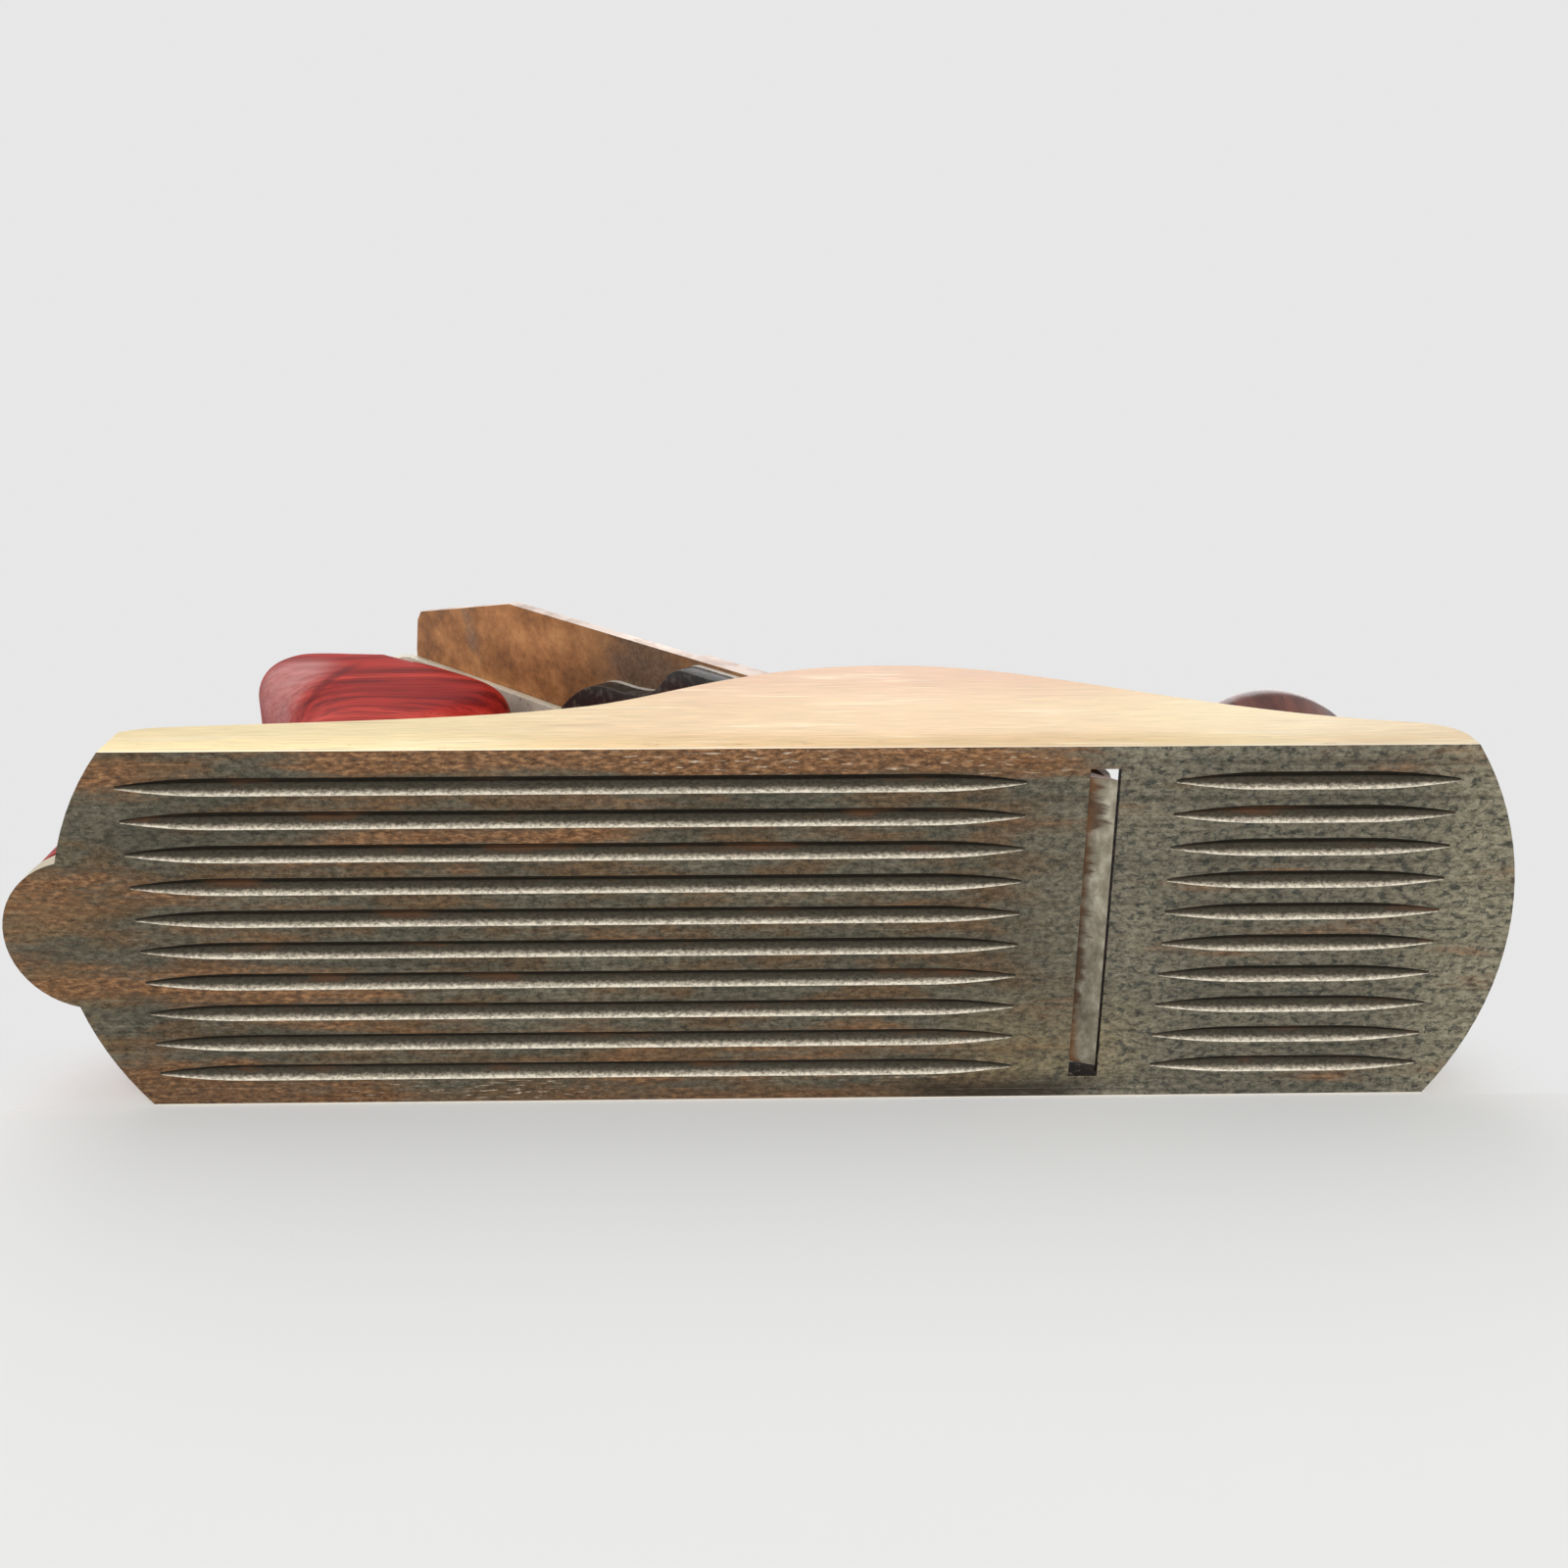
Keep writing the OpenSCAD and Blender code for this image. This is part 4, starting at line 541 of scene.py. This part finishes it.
def tote_finish():
    """Cherry-red stained hardwood under a worn gloss, its grain along the plane."""
    f = Finish("cherry_tote")
    x, y, z = f.xyz()
    sway = f.noise((9, 30, 30), 2.0, 0.5)
    shift = f.node("ShaderNodeCombineXYZ", None, {0: 0.0, 1: sway * 0.006, 2: sway * 0.010})
    bent = f.node("ShaderNodeVectorMath", {"operation": "ADD"}, {0: f.place(), 1: shift})
    rings = f.noise((7, 230, 230), 4.0, 0.62, bent)
    streak = f.noise((14, 900, 900), 3.0, 0.62, bent, (3.0, 0.0, 2.0))
    pores = f.noise((90, 2600, 2600), 3.0, 0.65, bent, (5.0, 0.0, 1.0))
    cloud = f.noise((22, 60, 60), 3.0, 0.55, shift=(4.0, 4.0, 4.0))
    tint = f.ramp(rings, [(0.34, (0.150, 0.008, 0.007)), (0.45, (0.360, 0.020, 0.015)),
                          (0.56, (0.510, 0.034, 0.024)), (0.72, (0.640, 0.072, 0.048))])
    along_grain = 1 - 0.7 * abs(f.facing()[0])
    tint = f.mix(tint, (0.110, 0.007, 0.008), f.between(streak, 0.50, 0.62) * 0.60 * along_grain)
    tint = f.mix(tint, (0.070, 0.006, 0.008), f.between(pores, 0.57, 0.68) * 0.55 * along_grain)
    tint = f.mix(tint, (0.160, 0.010, 0.011), f.between(cloud, 0.54, 0.72) * 0.45)
    # A pale pink highlight painted on both shoulders of the horn, broken by the streaks, and
    # painted shade along the crease in front of it
    dx, dy, dz = x - HORN_HIGHLIGHT_X, abs(y) - HORN_HIGHLIGHT_Y, z - HORN_HIGHLIGHT_Z
    from_highlight = dx * dx + dy * dy * 0.6 + dz * dz * 0.8
    from_highlight = from_highlight + 240.0 * (cloud - 0.5) + 90.0 * (streak - 0.5)
    tint = f.mix(tint, (0.46, 0.130, 0.120), f.between(from_highlight, 190.0, 60.0) * 0.50)
    tint = f.mix(tint, (0.66, 0.400, 0.375), f.between(from_highlight, 120.0, 0.0) * (0.80 - 0.7 * streak))
    # Painted shade along the crease
    crease_shade = f.hump(x - 0.35 * (z - 90.0), -91.0, 0.6, 1.4) * f.between(z, 84.0, 88.0)
    crease_shade = crease_shade * f.between(z, 106.0, 98.0)
    tint = f.mix(tint, (0.110, 0.010, 0.012), crease_shade * 0.6)
    nick = f.between(f.cells((160, 160, 160), shift=(1.0, 0.0, 2.0)), 0.13, 0.05)
    return f.skin(colour=tint, rough=0.36 + 0.16 * cloud, metal=0.0,
                  coat=0.02, coat_rough=0.15, specular=0.05,
                  normal=f.bump(pores * 0.35 + rings * 0.25 - nick * 0.8, 0.3, 0.08))


def knob_finish():
    """Dark red-brown turned hardwood, polished by hands, with pale highlights painted on."""
    f = Finish("dark_knob")
    z = f.xyz()[2]
    rings = f.noise((260, 260, 14), 4.0, 0.6)
    pores = f.noise((2000, 2000, 70), 3.0, 0.65, shift=(2.0, 0.0, 0.0))
    turning = f.noise((20, 20, 900), 2.0, 0.5)
    tint = f.ramp(rings, [(0.32, (0.034, 0.009, 0.006)), (0.5, (0.100, 0.024, 0.015)),
                          (0.70, (0.19, 0.052, 0.032))])
    tint = f.mix(tint, (0.020, 0.008, 0.006), f.between(pores, 0.56, 0.68) * 0.6)
    # Pale patches, more of them towards the top: painted highlights
    wear_and_sheen = f.between(f.noise((120, 120, 120), 4.0, 0.62), 0.54, 0.66)
    tint = f.mix(tint, (0.34, 0.225, 0.195), wear_and_sheen * f.between(z, 62.0, 90.0, 0.12, 0.5))
    return f.skin(colour=tint, rough=0.34 + 0.2 * wear_and_sheen, metal=0.0, coat=0.08, coat_rough=0.2,
                  specular=0.16,
                  normal=f.bump(pores * 0.4 + turning * 0.4, 0.3, 0.08))


# Pieces

def welded(node):
    """The mesh of a CAD piece in one skin, flat faces whole again."""
    bm = bmesh.new()
    bm.from_mesh(NODES[node].data)
    for layers in (bm.loops.layers.uv, bm.loops.layers.color, bm.loops.layers.float_vector):
        while len(layers):
            layers.remove(layers[0])
    bmesh.ops.remove_doubles(bm, verts=bm.verts, dist=2e-6)
    bmesh.ops.dissolve_degenerate(bm, dist=1e-6, edges=bm.edges)
    bmesh.ops.dissolve_limit(bm, angle_limit=math.radians(0.4), verts=bm.verts, edges=bm.edges,
                             delimit=set())
    return bm


def piece(name, bm, finish, body, stands_for, sharp=32.0):
    """Puts a skin in the scene as a piece that rides a body in place of CAD nodes."""
    bmesh.ops.recalc_face_normals(bm, faces=bm.faces)
    mesh = bpy.data.meshes.new(name)
    bm.to_mesh(mesh)
    bm.free()
    for key in ("custom_normal", "sharp_face", "sharp_edge"):
        if key in mesh.attributes:
            mesh.attributes.remove(mesh.attributes[key])
    mesh.shade_smooth()
    mesh.set_sharp_from_angle(angle=math.radians(sharp))
    obj = bpy.data.objects.new(name, mesh)
    bpy.context.scene.collection.objects.link(obj)
    mesh.materials.append(finish)
    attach(obj, body)
    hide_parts(*stands_for)
    return obj


def eased(node, finish, ease, sharp=32.0, keep=None, least=40.0):
    """A CAD piece with its hard edges rounded by so many millimetres."""
    bm = welded(node)
    hard = [e for e in bm.edges if len(e.link_faces) == 2
            and e.calc_face_angle(0.0) > math.radians(least)
            and (keep is None or keep(e))]
    bmesh.ops.bevel(bm, geom=hard, offset=ease * MM, offset_type="OFFSET", segments=2,
                    profile=0.5, affect="EDGES", clamp_overlap=True)
    bmesh.ops.dissolve_degenerate(bm, dist=1e-6, edges=bm.edges)
    return piece(node + "_worn", bm, finish, BODY_OF[node], [node], sharp)


def edge_off_grooves(e):
    """True for the body's edges that aren't a groove's."""
    return all(not (v.co.z < 1.6 * MM and abs(v.co.y) < 27.5 * MM) for v in e.verts)


# Side of the tote: along the plane and up from its seat, and the rounding of its edge
TOTE_SIDE = (
    (0, 0, 9.9), (0, 9, 9.9), (1.2, 15, 9.9), (7, 24.5, 10.1), (14.8, 35, 10.4), (20.2, 46, 11),
    (23.4, 57.1, 11.2), (24.4, 67, 11.2), (22.6, 77, 10.8), (17.6, 85.4, 9.6),
    (11.6, 93.5, 8.2), (9.2, 101, 7.6), (11.8, 107.6, 7), (18.5, 111, 5.8), (31, 109.4, 4.8),
    (44, 104.2, 5), (56, 96.3, 6.4), (63.6, 89.4, 7), (66.4, 83, 7), (66, 76, 7.6),
    (61.6, 67, 9.6), (57.4, 56.1, 11), (55.8, 45, 11), (57.4, 34, 10), (62.6, 23.5, 8),
    (70.4, 15, 5.4), (79.4, 9.4, 3.4), (85, 6.4, 2.2), (86.6, 2.6, 1.4), (86.6, 0, 1.4))


def curve_through(knots, steps):
    """Points of an even curve through knots."""
    line = []
    for i in range(len(knots) - 1):
        a, b, c, d = (Vector(knots[min(max(i + k, 0), len(knots) - 1)]) for k in (-1, 0, 1, 2))
        for j in range(steps):
            t = j / steps
            line.append(0.5 * (2 * b + (c - a) * t + (2 * a - 5 * b + 4 * c - d) * t * t
                               + (3 * b - a - 3 * c + d) * t * t * t))
    return line + [Vector(knots[-1])]


def tote_skin():
    """The tote's skin before it is bored: edges rounded, sides standing out a little."""
    side = curve_through(TOTE_SIDE, 7)
    m = len(side)
    half = TOTE_W / 2 - 0.5
    turns = [math.radians(8 * k) for k in range(-10, 11)]
    bm = bmesh.new()
    rings = []
    for hand in (-1, 1):
        for turn in [a for a in turns if a * hand >= 0]:
            ring = []
            for i, (x, z, r) in enumerate(side):
                a, b = side[max(i - 1, 0)], side[min(i + 1, m - 1)]
                run = Vector((b[0] - a[0], b[1] - a[1])).normalized()
                inset = r * (1 - math.cos(turn))
                ring.append(bm.verts.new((
                    (TOTE_X + x + run.y * inset) * MM,
                    (hand * (half - r) + r * math.sin(turn)) * MM,
                    (TOTE_Z + max(0.0, z - run.x * inset)) * MM)))
            rings.append(ring)
    for low, high in zip(rings, rings[1:]):
        for i in range(m):
            j = (i + 1) % m
            bm.faces.new((low[i], low[j], high[j], high[i]))
    for ring in (rings[0], rings[-1]):
        lines = []
        for i in range(m // 2):
            a, b = ring[i], ring[m - 1 - i]
            line = [a]
            for t in (0.06, 0.2, 0.4, 0.6, 0.8, 0.94):
                at = a.co.lerp(b.co, t)
                at.y += math.copysign((TOTE_W / 2 * MM - abs(at.y)) * 4 * t * (1 - t), at.y)
                line.append(bm.verts.new(at))
            lines.append(line + [b])
        for low, high in zip(lines, lines[1:]):
            for k in range(len(low) - 1):
                bm.faces.new((low[k], low[k + 1], high[k + 1], high[k]))
        for line in (lines[0], lines[-1]):
            bm.faces.new(line)
    bmesh.ops.recalc_face_normals(bm, faces=bm.faces)
    return bm


def helper(name, bm):
    mesh = bpy.data.meshes.new(name)
    bm.to_mesh(mesh)
    bm.free()
    obj = bpy.data.objects.new(name, mesh)
    bpy.context.scene.collection.objects.link(obj)
    return obj


def bored_tote(finish):
    """The tote with its rod's hole and the recess of its nut."""
    wood = helper("tote_blank", tote_skin())
    bm = bmesh.new()
    line = Matrix.Translation((TOTE_ROD_X * MM, 0.0, TOTE_Z * MM)) @ Matrix.Rotation(
        TOTE_LEAN, 4, "Y")
    for radius, low, high in ((4.5, -8.0, TOTE_ROD_L), (6.45, TOTE_ROD_L - 2.8, TOTE_ROD_L + 16)):
        bmesh.ops.create_cone(
            bm, cap_ends=True, segments=72, radius1=radius * MM, radius2=radius * MM,
            depth=(high - low) * MM,
            matrix=line @ Matrix.Translation((0.0, 0.0, (low + high) / 2 * MM)))
    drill = helper("tote_drill", bm)
    cut = wood.modifiers.new("bore", "BOOLEAN")
    cut.operation, cut.object, cut.solver, cut.use_self = "DIFFERENCE", drill, "EXACT", True
    bpy.context.view_layer.update()
    bored = bmesh.new()
    bored.from_mesh(wood.evaluated_get(bpy.context.evaluated_depsgraph_get()).to_mesh())
    for obj in (wood, drill):
        bpy.data.objects.remove(obj)
    return piece("tote_worn", bored, finish, BODY_OF["tote"], ["tote"], 50.0)


body_iron = body_finish()
japan = japan_finish("frog_japan", 2.0)
lever_japan = japan_finish("lever_japan", 6.0)
cutter = cutter_finish()
screw_steel = steel_finish("screw_steel", (0.40, 0.375, 0.33), 0.10, 1.0)
clip_steel = steel_finish("clip_steel", (0.26, 0.25, 0.23), 0.18, 4.0, 0.42)
plating = plated_finish("lever_plating", 3.0, 1.20, 0.15)
cap_plating = plated_finish("cap_plating", 8.0, 0.72)
brass = brass_finish()
cherry = tote_finish()
dark_wood = knob_finish()

eased("plane_body", body_iron, 0.3, keep=edge_off_grooves)
eased("frog", japan, 0.35)
eased("y_lever", lever_japan, 0.3)
for part in ("frog_screws", "frog_adjusting_screw", "frog_clip_screw", "cap_iron_screw",
             "lateral_rivet", "disc_rivet", "cam_pin", "cap_spring_rivet", "y_lever_pin"):
    eased(part, screw_steel, 0.2)
for part in ("frog_washers", "frog_clip", "cap_spring"):
    eased(part, clip_steel, 0.12)
for part in ("depth_stud", "knob_rod", "tote_rod"):
    eased(part, screw_steel, 0.3)
eased("lateral_lever", plating, 0.22)
eased("lateral_disc", plating, 0.2)
eased("lever_cap", cap_plating, 0.35)
eased("lever_cap_screw", cap_plating, 0.25)
eased("cam_lever", cap_plating, 0.35)
eased("plane_iron", cutter, 0.08)
eased("cap_iron", cutter, 0.12)
for part in ("depth_nut", "knob_nut", "tote_nut"):
    eased(part, brass, 0.15)
eased("knob", dark_wood, 0.3, sharp=40.0, least=60.0)
bored_tote(cherry)


# Camera, lights and the two boards that the plane can stand or lie on

def camera():
    """The photograph's camera, solved from the sole's corners and the cheek's outline."""
    data = bpy.data.cameras.new("camera")
    data.lens, data.sensor_width, data.sensor_fit = 36.95, 36.0, "HORIZONTAL"
    data.clip_start, data.clip_end = 0.01, 60.0
    right = Vector((0.99983, -0.00034, -0.01830))
    up = Vector((0.00641, -0.93012, 0.36719))
    back = right.cross(up).normalized()
    up = back.cross(right).normalized()
    obj = bpy.data.objects.new("camera", data)
    obj.matrix_world = Matrix.Translation((-0.00088, -0.11597, -0.22988)) @ Matrix(
        (right, up, back)).transposed().to_4x4()
    bpy.context.scene.collection.objects.link(obj)
    bpy.context.scene.camera = obj


def lamp(name, at, size, power):
    data = bpy.data.lights.new(name, "AREA")
    data.shape, data.size, data.size_y = "RECTANGLE", *size
    data.energy, data.color = power, (1.0, 1.0, 1.0)
    obj = bpy.data.objects.new(name, data)
    obj.location = at
    obj.rotation_mode = "QUATERNION"
    obj.rotation_quaternion = (Vector(LAMP_AIM) - Vector(at)).to_track_quat("-Z", "Y")
    obj.visible_camera = False
    bpy.context.scene.collection.objects.link(obj)


def board(name, corners, reach):
    """A pale board that shows from its front only, and only to the camera, and fades far off."""
    f = Finish(name)
    dust = f.noise((18, 18, 18), 3.0, 0.5)
    tint = f.mix(tuple(c * 0.985 for c in BOARD_TONE), BOARD_TONE, dust)
    pale = f.node("ShaderNodeBsdfDiffuse", None, {"Color": tint, "Roughness": 0.6})
    clear = f.node("ShaderNodeBsdfTransparent")
    seen = f.node("ShaderNodeLightPath", out="Is Camera Ray")
    behind = f.node("ShaderNodeNewGeometry", out="Backfacing")
    shown = f.node("ShaderNodeMixShader", None,
                   {0: seen * (1 - behind) * reach(f), 1: clear, 2: pale})
    f.node("ShaderNodeOutputMaterial", None, {"Surface": shown}, out=None)
    mesh = bpy.data.meshes.new(name)
    mesh.from_pydata(corners, [], [(0, 1, 2, 3)])
    mesh.materials.append(f.mat)
    obj = bpy.data.objects.new(name, mesh)
    bpy.context.scene.collection.objects.link(obj)


def floor_reach(f):
    """1 by the plane, and 0 from about half a metre off."""
    x, y = f.xyz()[:2]
    return f.between(x * x + y * y, BOARD_FAR ** 2, BOARD_NEAR ** 2)


def cheek_reach(f):
    """1 under the floor and close beside the plane, and 0 over the rest of the floor."""
    x, z = f.xyz()[::2]
    far_off = f.between(x * x + z * z, BOARD_FAR ** 2, BOARD_NEAR ** 2)
    beside = f.between(z, 24.0, 1.0) * f.between(abs(x), 138.0, 114.0)
    return f.sum("MAXIMUM", far_off * (z < -0.4), beside)


def world():
    w = bpy.data.worlds.new("studio")
    bpy.context.scene.world = w
    f = Finish("studio", w)
    path = f.node("ShaderNodeLightPath", out=None)
    seen = Sock(f, path.outputs["Is Camera Ray"]) + Sock(f, path.outputs["Is Glossy Ray"]) + Sock(
        f, path.outputs["Is Transmission Ray"])
    tint = f.mix((0.50, 0.50, 0.50), (0.80, 0.80, 0.80), seen)
    back = f.node("ShaderNodeBackground", None, {"Color": tint, "Strength": 1.0})
    f.node("ShaderNodeOutputWorld", None, {"Surface": back}, out=None)


camera()
world()
square = [(a * BOARD_HALF, b * BOARD_HALF) for a, b in ((-1, -1), (1, -1), (1, 1), (-1, 1))]
board("floor_board", [(a, b, FLOOR_Z) for a, b in square], floor_reach)
board("cheek_board", [(a, CHEEK_Y, b) for a, b in square], cheek_reach)
lamp("key", (-0.30, -0.95, 0.50), (0.9, 0.9), 4.6)
lamp("low", (0.10, -0.55, -0.95), (0.9, 0.6), 7.0)
lamp("top", (0.15, 0.10, 1.20), (0.9, 0.9), 5.5)
lamp("back", (0.35, 1.00, 0.55), (0.9, 0.9), 5.5)

bpy.context.scene.view_settings.view_transform = "Standard"
bpy.context.view_layer.update()
